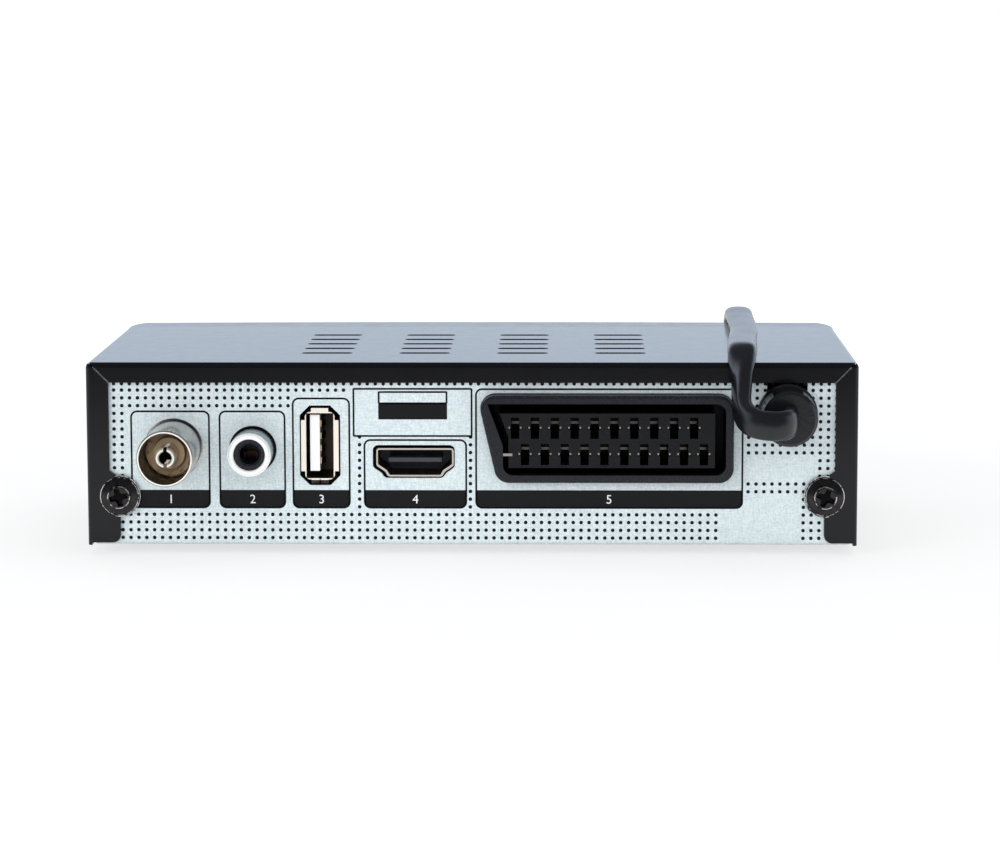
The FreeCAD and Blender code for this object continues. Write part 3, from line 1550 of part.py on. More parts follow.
def make_lead():
    """Mains lead over the case's top, its put-away coil, and the moulded two-pin plug."""
    diameter = S.cord_diameter.number
    lead = doc.addObject("Part::Feature", "mains_cord")
    lead.Label = "mains_cord"
    lead.Shape = tube_along(lead_route(), diameter)
    PARTS.append(lead)

    along, end_y, end_z = DOWN_THE_FRONT[-1]
    end_x = relief_x + along
    tail_radius = S.coil_outer - S.cord_diameter / 2
    coil_x = end_x + tail_radius
    coil_y = front + end_y - S.coil_first_tail
    ring = doc.addObject("Part::Cylinder", "coil_outside")
    core = doc.addObject("Part::Cylinder", "coil_inside")
    for item, radius in ((ring, S.coil_outer), (core, S.coil_inner)):
        item.setExpression("Radius", radius.words)
        item.setExpression("Height", S.coil_height.words)
        item.setExpression("Placement.Base.x", coil_x.words)
        item.setExpression("Placement.Base.y", coil_y.words)
    hollow = doc.addObject("Part::Cut", "coil_ring")
    hollow.Base = ring
    hollow.Tool = core

    first = doc.addObject("Part::Cylinder", "coil_first_end")
    first.setExpression("Radius", (S.cord_diameter / 2).words)
    first.setExpression("Height", S.coil_first_tail.words)
    first.Placement.Rotation = FreeCAD.Rotation(Vector(0, 0, 1), Vector(0, 1, 0))
    first.setExpression("Placement.Base.x", end_x.words)
    first.setExpression("Placement.Base.y", coil_y.words)
    first.setExpression("Placement.Base.z", as_size(end_z).words)

    cosine, sine = math.cos(math.radians(PLUG_TURN)), math.sin(math.radians(PLUG_TURN))
    plug_level = S.plug_thick / 2
    away_x = coil_x + tail_radius * cosine
    away_y = coil_y - tail_radius * sine
    last = doc.addObject("Part::Cylinder", "coil_last_end")
    last.setExpression("Radius", (S.cord_diameter / 2).words)
    last.setExpression("Height", S.coil_last_tail.words)
    last.Placement.Rotation = FreeCAD.Rotation(Vector(0, 0, 1), Vector(sine, cosine, 0))
    last.setExpression("Placement.Base.x", away_x.words)
    last.setExpression("Placement.Base.y", away_y.words)
    last.setExpression("Placement.Base.z", plug_level.words)
    coil = doc.addObject("Part::MultiFuse", "cord_coil")
    coil.Label = "cord_coil"
    coil.Shapes = [hollow, first, last]
    PARTS.append(coil)

    plug_x = away_x + S.coil_last_tail * sine
    plug_y = away_y + S.coil_last_tail * cosine
    turn = FreeCAD.Rotation(Vector(0, 0, 1), -PLUG_TURN)
    body = new_body("plug_body", plug_x, plug_y, plug_level)
    half, neck = S.plug_width / 2, S.plug_neck
    outline = shape(
        [
            (-neck, 0),
            (neck, 0),
            (neck * 1.1, 9.0),
            (half * 0.72, 19.0),
            (half, S.plug_length - 7),
            (half, S.plug_length),
            (-half, S.plug_length),
            (-half, S.plug_length - 7),
            (-half * 0.72, 19.0),
            (-neck * 1.1, 9.0),
        ]
    )
    add(body, "body", FLAT, -plug_level, S.plug_thick, outline)
    slope = shape([(-1, neck), (8.0, neck), (20.0, plug_level), (20.0, plug_level + 1), (-1, plug_level + 1)])
    cut(body, "upper_slope", SIDE, -half, S.plug_width, slope)
    under = -plug_level - 1
    slope = shape([(-1, -neck), (-1, under), (20.0, under), (20.0, -plug_level), (8.0, -neck)])
    cut(body, "lower_slope", SIDE, -half, S.plug_width, slope)
    rounded(body, "corners", 1.5, lambda e: runs_along(e, "z") and near(abs(e.CenterOfMass.x), half))
    body.Placement.Rotation = turn

    body = new_body("plug_pins", plug_x, plug_y, plug_level)
    pins = [disc(side * S.pin_pitch / 2, 0, S.pin_radius) for side in (-1, 1)]
    add(body, "pins", FRONT_TO_BACK, S.plug_length, S.pin_length, *pins)
    rounded(body, "tips", S.pin_radius * 0.6, lambda e: near(e.CenterOfMass.y, S.plug_length + S.pin_length))
    body.Placement.Rotation = turn


def make_inner_leads():
    """The lead's two cores, from the strain relief down to the mains header."""
    start_y = -S.sheet.number - S.fit_gap.number - 3.2
    top = (case_base + board_top + S.header_height).number
    axis = (case_base + relief_level).number
    cores = []
    for side in (-1, 1):
        x = relief_x.number + side * 1.3
        header_x = relief_x.number + 1.4 + side * 2.1
        route = (
            at_rear(x, start_y, axis),
            at_rear(x, start_y - 7, axis),
            at_rear(x + 0.2 * side, start_y - 16, axis - 0.8),
            at_rear(header_x, -27.0, axis - 4.8),
            at_rear(header_x, -29.0, top),
        )
        cores.append(tube_along(route, S.core_diameter.number))
    wires = doc.addObject("Part::Feature", "mains_cores")
    wires.Label = "mains_cores"
    wires.Shape = Part.Compound(cores)
    PARTS.append(wires)


def check_and_write():
    """Stop on any failed object, then write each sub-part to its own STEP file."""
    doc.recompute()
    for item in doc.Objects:
        if "Invalid" in item.State or "Error" in item.State:
            raise RuntimeError(f"{item.Name} failed: {item.State}")
        if item.TypeId in ("PartDesign::Pocket", "PartDesign::Groove"):
            if item.Shape.Volume > item.BaseFeature.Shape.Volume - 1e-4:
                raise RuntimeError(f"{item.Name} cuts nothing")
    os.makedirs(OUT, exist_ok=True)
    for item in PARTS:
        if item.Shape.isNull() or not item.Shape.isValid() or not item.Shape.Solids:
            raise RuntimeError(f"{item.Label} has no valid solid")
        item.Shape.exportStep(f"{OUT}/{item.Label}.step")
    print(len(PARTS), "sub-parts written")


make_top_cover()
make_base_pan()
make_feet()
make_cover_screws()
make_board_screws()
make_front_panel()
make_display_window()
make_buttons()
make_front_board()
make_ribbon_cable()
make_boards()
make_main_board_parts()
make_power_parts()
make_antenna_socket()
make_coax_socket()
make_usb_socket()
make_hdmi_socket()
make_scart_socket()
make_strain_relief()
make_lead()
make_inner_leads()
check_and_write()
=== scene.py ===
"""Looks of the set-top tv receiver: printed rear panel, finishes, mains lead, studio."""

import json
import math

import bmesh
import bpy
import numpy as np
from mathutils import Matrix, Vector


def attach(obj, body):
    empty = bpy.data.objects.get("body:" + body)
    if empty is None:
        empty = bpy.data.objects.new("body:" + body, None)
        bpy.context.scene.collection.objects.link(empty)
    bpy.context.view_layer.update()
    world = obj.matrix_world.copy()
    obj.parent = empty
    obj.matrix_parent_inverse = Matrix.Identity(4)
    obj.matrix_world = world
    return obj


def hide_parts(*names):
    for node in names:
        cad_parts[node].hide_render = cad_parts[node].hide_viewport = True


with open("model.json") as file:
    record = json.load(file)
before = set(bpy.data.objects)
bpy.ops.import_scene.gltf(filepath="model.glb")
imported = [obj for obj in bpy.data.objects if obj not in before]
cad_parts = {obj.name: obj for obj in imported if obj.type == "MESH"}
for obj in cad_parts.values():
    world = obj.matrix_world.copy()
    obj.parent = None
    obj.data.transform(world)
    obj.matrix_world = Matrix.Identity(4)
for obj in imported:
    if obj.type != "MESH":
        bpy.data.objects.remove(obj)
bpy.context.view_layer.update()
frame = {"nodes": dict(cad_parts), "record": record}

MM = 0.001
REAR = 29.65          # outer face of the rear panel, along Y
PANEL_FOOT = 2.0      # height of the panel's lower edge above the floor
CASE = "case"         # the body that everything but the buttons rides on


# ---------------------------------------------------------------- camera

CAMERA_PLACE = (-18.80, 680.67, 114.08)
CAMERA_TURN = (-1.172, 7.84, -0.114)     # yaw, pitch and roll in degrees
CAMERA_LENS = 123.02
CAMERA_SENSOR = 36.0


def make_camera():
    """A long lens behind the box and a little above it, turned by yaw, pitch and roll."""
    yaw, pitch, roll = (math.radians(angle) for angle in CAMERA_TURN)
    level = np.array([-math.sin(yaw), -math.cos(yaw), 0.0])
    right = np.array([-math.cos(yaw), math.sin(yaw), 0.0])
    up = np.array([0.0, 0.0, 1.0])
    forward = level * math.cos(pitch) - up * math.sin(pitch)
    up = up * math.cos(pitch) + level * math.sin(pitch)
    right, up = (right * math.cos(roll) + up * math.sin(roll),
                 up * math.cos(roll) - right * math.sin(roll))
    data = bpy.data.cameras.new("rear_camera")
    data.lens = CAMERA_LENS
    data.sensor_width = CAMERA_SENSOR
    camera = bpy.data.objects.new("rear_camera", data)
    bpy.context.scene.collection.objects.link(camera)
    turn = np.eye(4)
    turn[:3, 0] = right
    turn[:3, 1] = up
    turn[:3, 2] = -forward
    turn[:3, 3] = np.array(CAMERA_PLACE) * MM
    camera.matrix_world = Matrix(turn.tolist())
    bpy.context.scene.camera = camera


make_camera()


# ---------------------------------------------------------------- finishes

def paint(red, green, blue):
    """Linear colour of a screen colour given in steps of 0 to 255, by the standard sRGB curve."""
    steps = np.array([red, green, blue]) / 255.0
    low = steps / 12.92
    high = ((steps + 0.055) / 1.055) ** 2.4
    return tuple(np.where(steps <= 0.04045, low, high)) + (1.0,)


def grey(level):
    """A linear colour without tint."""
    return (level, level, level, 1.0)


class Term:
    """A shader value in an expression: each operator adds one Math node to its tree."""

    def __init__(self, nodes, socket):
        self.nodes = nodes
        self.socket = socket

    def math(self, operation, *others):
        return self.nodes.add("ShaderNodeMath", {"operation": operation}, dict(enumerate(others)))

    def __add__(self, other):
        return self.math("ADD", self, other)

    def __sub__(self, other):
        return self.math("SUBTRACT", self, other)

    def __rsub__(self, other):
        return self.math("SUBTRACT", other, self)

    def __mul__(self, other):
        return self.math("MULTIPLY", self, other)

    def __pow__(self, other):
        return self.math("POWER", self, other)

    def __abs__(self):
        return self.math("ABSOLUTE", self)

    def __lt__(self, other):
        return self.math("LESS_THAN", self, other)

    def __gt__(self, other):
        return self.math("GREATER_THAN", self, other)

    def most(self, other):
        return self.math("MAXIMUM", self, other)

    def ramp(self, start, end):
        """0 below start, 1 above end, smooth between."""
        settings = {"interpolation_type": "SMOOTHSTEP"}
        return self.nodes.add("ShaderNodeMapRange", settings, {0: self, 1: start, 2: end})


class Nodes:
    """A node tree that expressions of Terms are written into."""

    def __init__(self, tree):
        self.tree = tree

    def add(self, kind, settings=None, values=None, output=0):
        """Adds a node, sets it up, fills or links its sockets, and gives one output."""
        node = self.tree.nodes.new(kind)
        for name, value in (settings or {}).items():
            setattr(node, name, value)
        for socket, value in (values or {}).items():
            if isinstance(value, Term):
                self.tree.links.new(value.socket, node.inputs[socket])
            else:
                node.inputs[socket].default_value = value
        return Term(self, node.outputs[output])

    def mix(self, share, low, high):
        """Colour low where share is 0 and high where it is 1."""
        return self.add("ShaderNodeMix", {"data_type": "RGBA"}, {0: share, 6: low, 7: high}, 2)


class Finish(Nodes):
    """One surface finish: a Principled shader and the nodes that vary it."""

    def __init__(self, name, **steady):
        self.material = bpy.data.materials.new(name)
        self.material.use_nodes = True
        super().__init__(self.material.node_tree)
        self.shader = self.tree.nodes["Principled BSDF"]
        self.give(**steady)

    def place(self):
        """Where a point is on the piece, in millimetres."""
        where = self.add("ShaderNodeTexCoord", output="Object")
        return self.add("ShaderNodeVectorMath", {"operation": "SCALE"}, {0: where, 3: 1000.0})

    def axes(self):
        """The three coordinates of place(), one by one."""
        place = self.place()
        return [self.add("ShaderNodeSeparateXYZ", None, {0: place}, part) for part in (0, 1, 2)]

    def noise(self, scale, detail=3.0, roughness=0.5, place=None):
        """Soft blotches of 0 to 1; a larger scale makes them finer."""
        values = {"Vector": place or self.place(), "Scale": scale,
                  "Detail": detail, "Roughness": roughness}
        return self.add("ShaderNodeTexNoise", None, values)

    def stretched(self, x, y, z):
        """place() with each axis scaled, for grain that runs one way."""
        return self.add("ShaderNodeVectorMath", {"operation": "MULTIPLY"},
                        {0: self.place(), 1: (x, y, z)})

    def give(self, **links):
        """Links or sets sockets of the shader, an underscore standing for a space."""
        for socket, value in links.items():
            name = socket.replace("_", " ")
            if isinstance(value, Term):
                self.tree.links.new(value.socket, self.shader.inputs[name])
            else:
                self.shader.inputs[name].default_value = value
        return self

    def relief(self, height, depth, strength=1.0):
        """Bumps of height 0 to 1, depth millimetres deep, on the shader's normal."""
        values = {"Strength": strength, "Distance": depth * MM, "Height": height}
        self.give(Normal=self.add("ShaderNodeBump", None, values))
        return self


def scaled(colour, factor):
    """The colour made darker or lighter by a factor, still opaque."""
    return tuple(min(1.0, part * factor) for part in colour[:3]) + (1.0,)


def plain_finish(name, colour, rough, metal=0.0, grain=1.2, depth=0.01, swing=0.12, **steady):
    """A moulded or plated finish: mottled colour and roughness, and a fine skin."""
    finish = Finish(name, Metallic=metal, **steady)
    fine = finish.noise(grain, 5.0, 0.6)
    broad = finish.noise(grain * 0.12, 2.0)
    finish.give(Base_Color=finish.mix(broad * 0.6 + fine * 0.4, scaled(colour, 1 - swing),
                                      scaled(colour, 1 + swing)))
    finish.give(Roughness=broad * 0.1 + fine * 0.08 + (rough - 0.09))
    return finish.relief(fine, depth)


SCREW_PLACE = (67.95, 11.6)   # distance of a cover screw from the middle, and its height
EAR_RIM = 3.95                # radius of the cover's ear round a screw
EAR_SIDE = 68.8               # distance from the middle where the ear's free rim ends
MITRE_LINE = 36.2             # distance from the middle less height, all along a mitre
MITRE_FOOT = 33.2             # height where the mitres begin


def off_axis_squared(x, z, axis):
    """Squared distance from a line along Y, given by its x and z."""
    return (x - axis[0]) ** 2 + (z - axis[1]) ** 2


def black_gloss_paint():
    """Baked black gloss: faint orange peel, dust specks, worn mitres and rims round the screws."""
    finish = Finish("black_gloss_paint", IOR=1.38)
    x, y, z = finish.axes()
    peel = finish.noise(0.35, 2.0)
    specks = finish.noise(2.6, 2.0)
    ragged = finish.noise(1.9, 3.0) * 0.34
    worn_mitre = (abs(abs(x) - z - MITRE_LINE) < ragged - 0.06) * (z > MITRE_FOOT)
    off_screw = off_axis_squared(abs(x), z, SCREW_PLACE) ** 0.5
    worn_ear = (abs(off_screw - EAR_RIM) < ragged - 0.12) * (abs(x) < EAR_SIDE)
    chipped = worn_mitre.most(worn_ear) * (y > REAR - 0.05)
    finish.give(Base_Color=finish.mix(chipped, paint(9, 9, 13), paint(206, 208, 210)))
    finish.give(Metallic=chipped * 0.3,
                Roughness=peel * 0.05 + specks.ramp(0.68, 0.74) * 0.1 + 0.13)
    return finish.relief(peel, 0.012, 0.4)


def zinc_steel():
    """Galvanised sheet: pale blue-grey, with sparkling grain hatched both ways, faintly cloudy."""
    finish = Finish("zinc_steel", Metallic=0.35)
    grain = finish.noise(2.3, 2.0, 0.6)
    cloud = finish.noise(0.13, 2.0)
    across = finish.noise(1.0, 1.0, 0.5, finish.stretched(0.5, 0.5, 3.4))
    upward = finish.noise(1.0, 1.0, 0.5, finish.stretched(3.4, 0.5, 0.5))
    hatch = across.ramp(0.32, 0.68) * 0.22 + upward.ramp(0.32, 0.68) * 0.22
    tint = finish.mix(grain.ramp(0.3, 0.7) * 0.44 + hatch + cloud * 0.12,
                      paint(202, 217, 222), paint(246, 255, 255))
    finish.give(Base_Color=tint, Roughness=grain * 0.2 + 0.36)
    return finish.relief(grain + hatch, 0.02, 0.6)


def brushed_metal(name, colour, rough):
    """Plated metal with fine turning marks round the socket's own axis."""
    finish = Finish(name, Metallic=1.0)
    marks = finish.noise(1.0, 3.0, 0.6, finish.stretched(0.6, 9.0, 0.6))
    stain_and_shade = finish.noise(0.5, 3.0)
    finish.give(Base_Color=finish.mix(marks * 0.5 + stain_and_shade * 0.5, scaled(colour, 0.86), colour))
    finish.give(Roughness=marks * 0.1 + stain_and_shade * 0.08 + rough)
    return finish.relief(marks, 0.006, 0.5)


def socket_plating(name, side, mouth, mouth_at, rough, inside, stain_and_shade=(40, 32, 26), foot=0.0):
    """Plating: bright beyond mouth_at along Y as a painted highlight; where inside(x, y, z) is 1,
    painted shade streaked with painted reflections.

    The foot is the height above the rear panel up to which the plating lies in the gap's shade.
    """
    finish = brushed_metal(name, side, rough)
    x, y, z = finish.axes()
    # painted highlight: the mouth is drawn paler and less metallic than the side
    bright = y > mouth_at
    hollow = inside(x, y, z)
    mottle = finish.noise(0.9, 3.0)
    # painted shade in the hollow, streaked lighter and darker as painted reflections
    reflected_streak = finish.noise(1.0, 2.0, 0.5, finish.stretched(1.5, 0.06, 1.5)).ramp(0.4, 0.62)
    deep = finish.mix(reflected_streak, scaled(paint(*stain_and_shade), 0.7), scaled(paint(*stain_and_shade), 3.2))
    clear = finish.mix(mottle, side, scaled(side, 0.8))
    plated = finish.mix(y < REAR + foot, clear, paint(46, 48, 50))
    outside = finish.mix(bright, plated, mouth)
    finish.give(Base_Color=finish.mix(hollow, outside, deep))
    return finish.give(Roughness=hollow * 0.15 + mottle * 0.06 + rough,
                       Metallic=1 - (hollow * 0.3).most(bright * 0.6))


def screw_steel():
    """Black-oxide steel, worn and with painted glints at the rim and round the cross recess, with
    painted shade in the recess.
    """
    finish = Finish("black_screw_steel", Metallic=0.9)
    recess_reach, edge_reach, rim_reach = 3.3, 4.6, 13.0    # squared distances from the axis
    recess_floor, recess_mouth = REAR + 1.5, REAR + 2.85
    x, y, z = finish.axes()
    off_axis = off_axis_squared(abs(x), z, SCREW_PLACE)
    # painted shade: the cross recess is drawn near black
    recess = (off_axis < recess_reach) * (y < recess_mouth) * (y > recess_floor)
    mottle = finish.noise(1.1, 3.0)
    # worn steel with painted glints: the rim and the recess's edge are drawn pale
    rim_wear_and_glint = (off_axis > rim_reach) * (mottle > 0.46)
    edge_wear_and_glint = (abs(off_axis - edge_reach) < 0.5) * (mottle > 0.5)
    worn = rim_wear_and_glint.most(edge_wear_and_glint)
    steel = finish.mix(mottle, paint(34, 33, 35), paint(68, 65, 66))
    steel = finish.mix(worn, steel, paint(222, 218, 208))
    finish.give(Base_Color=finish.mix(recess, steel, paint(10, 10, 11)))
    return finish.give(Roughness=mottle * 0.12 + 0.16).relief(mottle, 0.02)


def within(x, z, middle, half):
    """1 inside a rectangle given by its middle and its half width and height."""
    return (abs(x - middle[0]) < half[0]) * (abs(z - middle[1]) < half[1])


def socket_plastic():
    """Black moulding: satin on the outer rim; darker with painted shade, and duller, on what lies
    deeper.
    """
    finish = Finish("socket_plastic", Specular_IOR_Level=0.3)
    _, y, _ = finish.axes()
    # painted shade: what lies deeper is drawn darker
    deep = y < REAR + 3.2
    skin = finish.noise(2.0, 4.0)
    rim = finish.mix(skin, paint(22, 23, 28), paint(32, 33, 39))
    finish.give(Base_Color=finish.mix(deep, rim, paint(13, 13, 17)))
    return finish.give(Roughness=deep * 0.16 + skin * 0.1 + 0.22).relief(skin, 0.02)


def spring_metal():
    """Contact springs: dull, with painted glints on the tips near the face of the contact block."""
    finish = Finish("spring_metal", Metallic=1.0)
    _, y, _ = finish.axes()
    mottle = finish.noise(1.4, 2.0)
    dull = finish.mix(mottle, paint(74, 70, 64), paint(112, 108, 100))
    # painted glints on the tips near the face
    finish.give(Base_Color=finish.mix(y > REAR + 1.5, dull, paint(166, 162, 154)))
    return finish.give(Roughness=mottle * 0.1 + 0.14)


def tongue_white():
    """White plastic, with painted shade that turns it brown and dark towards the back of the
    socket.
    """
    finish = Finish("socket_white")
    _, y, _ = finish.axes()
    # painted shade towards the back
    front = y.ramp(REAR - 11.0, REAR - 3.0)
    mottle = finish.noise(1.2, 3.0)
    finish.give(Base_Color=finish.mix(front, paint(88, 70, 56), paint(252, 252, 248)))
    return finish.give(Roughness=mottle * 0.1 + 0.4)


def smoked_window():
    """Dark red-black acrylic with faint wiping marks."""
    finish = Finish("smoked_window", IOR=1.49, Transmission_Weight=0.55)
    haze = finish.noise(1.0, 3.0, 0.5, finish.stretched(0.05, 1.0, 0.4))
    finish.give(Base_Color=finish.mix(haze, paint(40, 10, 14), paint(56, 16, 20)))
    return finish.give(Roughness=haze * 0.04 + 0.03)


def circuit_board():
    """Green solder mask with a net of lighter, lower lines, and a pale grain."""
    finish = Finish("circuit_board")
    cells = finish.add("ShaderNodeTexVoronoi", {"feature": "DISTANCE_TO_EDGE"},
                       {"Vector": finish.place(), "Scale": 0.5})
    tracks = cells.ramp(0.03, 0.06)
    grain = finish.noise(2.5)
    green = finish.mix(tracks, paint(22, 84, 50), paint(14, 62, 36))
    finish.give(Base_Color=finish.mix(grain * 0.2, green, paint(40, 110, 70)))
    return finish.give(Roughness=grain * 0.1 + 0.3).relief(tracks, 0.03)


def ribbon_flat():
    """Flat cable: grey strands side by side, with painted shade in the grooves between them, red
    along one edge.
    """
    finish = Finish("ribbon_flat")
    half_pitch = 0.64
    x, _, _ = finish.axes()
    # painted shade: darker between the strands, in the grooves
    strand = abs(x.math("PINGPONG", x, half_pitch) - half_pitch / 2) * 3.1
    strands = finish.mix(strand, paint(208, 206, 198), paint(150, 150, 146))
    finish.give(Base_Color=finish.mix(x > 28.0, strands, paint(150, 40, 36)))
    return finish.give(Roughness=strand * 0.1 + 0.4).relief(strand, 0.2)


INK = plain_finish("black_ink", paint(9, 9, 12), 0.5, grain=3.0, depth=0.004, swing=0.2,
                   Specular_IOR_Level=0.32)
PALE_INK = plain_finish("pale_ink", paint(228, 234, 238), 0.5, grain=3.0, depth=0.004, swing=0.04)
SOCKET_PLASTIC = socket_plastic()
RUBBER = plain_finish("soft_rubber", paint(36, 36, 38), 0.62, grain=1.6, depth=0.04)
VINYL = plain_finish("lead_vinyl", paint(16, 16, 19), 0.24, grain=0.9, depth=0.03, swing=0.15)
FINISHES = {
    "black_paint": black_gloss_paint(),
    "zinc_steel": zinc_steel(),
    "black_abs": plain_finish("black_moulding", paint(20, 21, 24), 0.2, grain=2.4, depth=0.008,
                              swing=0.1),
    "smoked_window": smoked_window(),
    "foot_rubber": RUBBER,
    "black_screw": screw_steel(),
    "plain_screw": plain_finish("plain_screw_steel", paint(190, 190, 188), 0.35, 1.0),
    "circuit_board": circuit_board(),
    "black_part": plain_finish("black_component", paint(38, 38, 40), 0.5),
    "lamp_lens": plain_finish("lamp_lens", paint(150, 30, 30), 0.2, Transmission_Weight=0.5),
    "ribbon": ribbon_flat(),
    "heat_sink_metal": plain_finish("heat_sink_alloy", paint(150, 152, 156), 0.4, 1.0),
    "bright_metal": brushed_metal("bright_nickel", paint(226, 222, 214), 0.14),
    "contact_metal": brushed_metal("contact_metal", paint(214, 190, 140), 0.25),
    "tan_insulator": plain_finish("tan_insulator", paint(255, 216, 170), 0.5, swing=0.1),
    "white_plastic": plain_finish("white_tongue", paint(252, 252, 248), 0.45, swing=0.04),
    "dark_tongue": plain_finish("dark_tongue", paint(58, 59, 66), 0.4),
    "transformer_yellow": plain_finish("yellow_tape", paint(206, 178, 70), 0.4),
    "choke_green": plain_finish("choke_green", paint(60, 120, 80), 0.5),
    "fuse_glass": plain_finish("fuse_glass", paint(210, 214, 216), 0.1, Transmission_Weight=0.8),
    "cord_black": VINYL,
}


AERIAL_AXIS = (57.47, 20.92)      # x and z, as for the other sockets' middles
AERIAL_RIM = REAR + 15.3
AERIAL_BORE_SQUARED = 25.0
AERIAL_CONTACT_RIM = REAR + 13.0
AERIAL_CONTACT_BORE_SQUARED = 1.5
PHONO_RIM = REAR + 7.3
USB_MIDDLE = (29.2, 21.4)
USB_INSIDE = (2.64, 6.33)         # half its width and height
USB_LOWER_LIP = 14.75             # height below which the shell's lip takes the hollow's painted shade and reflections
HDMI_MIDDLE = (10.9, 18.15)
HDMI_INSIDE = (7.3, 2.6)
HDMI_RIM = REAR + 0.2


# Each of these is 1 where its socket's plating takes painted shade and reflections, and 0
# elsewhere.

def inside_aerial(x, y, z):
    return (off_axis_squared(x, z, AERIAL_AXIS) < AERIAL_BORE_SQUARED) * (y < AERIAL_RIM)


def inside_aerial_contact(x, y, z):
    return off_axis_squared(x, z, AERIAL_AXIS) < AERIAL_CONTACT_BORE_SQUARED


def inside_nothing(x, y, z):
    return (x > 0) * 0.0


def inside_usb(x, y, z):
    return within(x, z, USB_MIDDLE, USB_INSIDE).most(z < USB_LOWER_LIP)


def inside_hdmi(x, y, z):
    return within(x, z, HDMI_MIDDLE, HDMI_INSIDE) * (y < HDMI_RIM)


# Each plating: its side colour, a painted highlight on the mouth and painted shade in the hollow.
SOCKET_FINISHES = {
    "antenna_barrel": socket_plating(
        "aerial_barrel", paint(176, 172, 166), paint(250, 248, 242), AERIAL_RIM, 0.1,
        inside_aerial, stain_and_shade=(24, 18, 13), foot=0.5),
    "antenna_contact": socket_plating(
        "aerial_contact", paint(214, 210, 202), paint(248, 244, 234), AERIAL_CONTACT_RIM, 0.14,
        inside_aerial_contact),
    "coax_barrel": socket_plating(
        "phono_plating", paint(158, 166, 168), paint(252, 252, 250), PHONO_RIM, 0.2,
        inside_nothing, foot=0.3),
    "usb_shell": socket_plating(
        "usb_plating", paint(226, 216, 204), paint(252, 242, 228), REAR, 0.2,
        inside_usb, stain_and_shade=(34, 25, 18)),
    "hdmi_shell": socket_plating(
        "hdmi_plating", paint(196, 188, 178), paint(196, 188, 178), REAR, 0.2,
        inside_hdmi),
    "scart_contacts": spring_metal(),
    # painted shade: the phono's contact is drawn dark, as if in the hole's shade
    "coax_contact": plain_finish("shaded_contact", paint(60, 44, 36), 0.35, 1.0),
    "usb_tongue": tongue_white(),
    "usb_contacts": plain_finish("usb_springs", paint(236, 212, 176), 0.26, 1.0),
    "scart_housing": SOCKET_PLASTIC,
    "coax_core": SOCKET_PLASTIC,
}


def dress_nodes():
    """Each shown node takes the finish of its material slot, or its own socket finish."""
    for row in frame["record"]["subparts"]:
        node = frame["nodes"][row["node"]]
        finish = SOCKET_FINISHES.get(row["node"], FINISHES[row["material_slot"]])
        node.data.materials.clear()
        node.data.materials.append(finish.material)


dress_nodes()


# ---------------------------------------------------------------- meshes

def piece(name, points, faces, finish, smooth=True):
    """A mesh from points in millimetres and faces, normals outwards, riding on the case."""
    mesh = bpy.data.meshes.new(name)
    mesh.from_pydata((np.asarray(points).reshape(-1, 3) * MM).tolist(), [], faces)
    shell = bmesh.new()
    shell.from_mesh(mesh)
    bmesh.ops.recalc_face_normals(shell, faces=shell.faces)
    shell.to_mesh(mesh)
    shell.free()
    mesh.polygons.foreach_set("use_smooth", [smooth] * len(mesh.polygons))
    mesh.materials.append(finish.material)
    made = bpy.data.objects.new(name, mesh)
    bpy.context.scene.collection.objects.link(made)
    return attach(made, CASE)


def grid_faces(rows, columns, wrap_rows=False, wrap_columns=False):
    """Four-sided faces of a grid whose point (i, j) is i * columns + j; wraps join its ends."""
    i, j = np.meshgrid(np.arange(rows - (not wrap_rows)), np.arange(columns - (not wrap_columns)),
                       indexing="ij")
    next_i = (i + 1) % rows
    next_j = (j + 1) % columns
    corners = [i * columns + j, next_i * columns + j,
               next_i * columns + next_j, i * columns + next_j]
    return np.stack(corners, -1).reshape(-1, 4).tolist()


def on_panel(u, z, y):
    """Points of the printed layout, u to the right from behind and z up the panel, in the frame."""
    u, z = np.broadcast_arrays(u, z)
    return np.stack([-u, np.full(u.shape, REAR + y), z + PANEL_FOOT], -1)


def evaluated(name, data):
    """The mesh that a text or a curve makes, and its points in its own unit."""
    carrier = bpy.data.objects.new(name, data)
    bpy.context.scene.collection.objects.link(carrier)
    bpy.context.view_layer.update()
    seen = carrier.evaluated_get(bpy.context.evaluated_depsgraph_get())
    mesh = bpy.data.meshes.new_from_object(seen)
    flat = np.zeros(len(mesh.vertices) * 3)
    mesh.vertices.foreach_get("co", flat)
    bpy.data.objects.remove(carrier)
    return mesh, flat.reshape(-1, 3)


# ---------------------------------------------------------------- printed panel

INK_BACK = -0.01      # the ink's two faces, from the panel's face outwards
INK_FRONT = 0.02
LINE = 0.36           # width of a printed outline
CORNER = 1.15         # its corner radius
ARC_POINTS = 7        # points on a rounded corner
BAND_TOP = 10.7       # upper edge of the black bands
FRAME_FOOT = 7.27     # lower edge of the frames
NUMERAL_HEIGHT = 1.75
NUMERAL_DEPTH = 0.02
FONT_SIZE = 1.39      # size of the font for a numeral of height 1
FRAMES = {            # left, right and top of each socket's frame
    "aerial": (-65.62, -50.60, 25.99),
    "phono": (-48.55, -36.01, 25.99),
    "usb": (-34.41, -23.54, 28.51),
    "hdmi": (-20.65, -1.05, 20.45),
    "scart": (0.87, 52.10, 30.33),
}
PLATE_OUTLINE = (-22.70, 0.02, 21.24, 30.38)      # left, right, foot and top
PLATE_WINDOW = (-17.84, -4.79, 27.58, 29.77)
PLATE_BAR = (-17.94, -4.69, 24.46, 27.62)
PLATE_CORNER = 0.15
BAR_CORNER = 0.05
SHARP_CORNER = 0.02


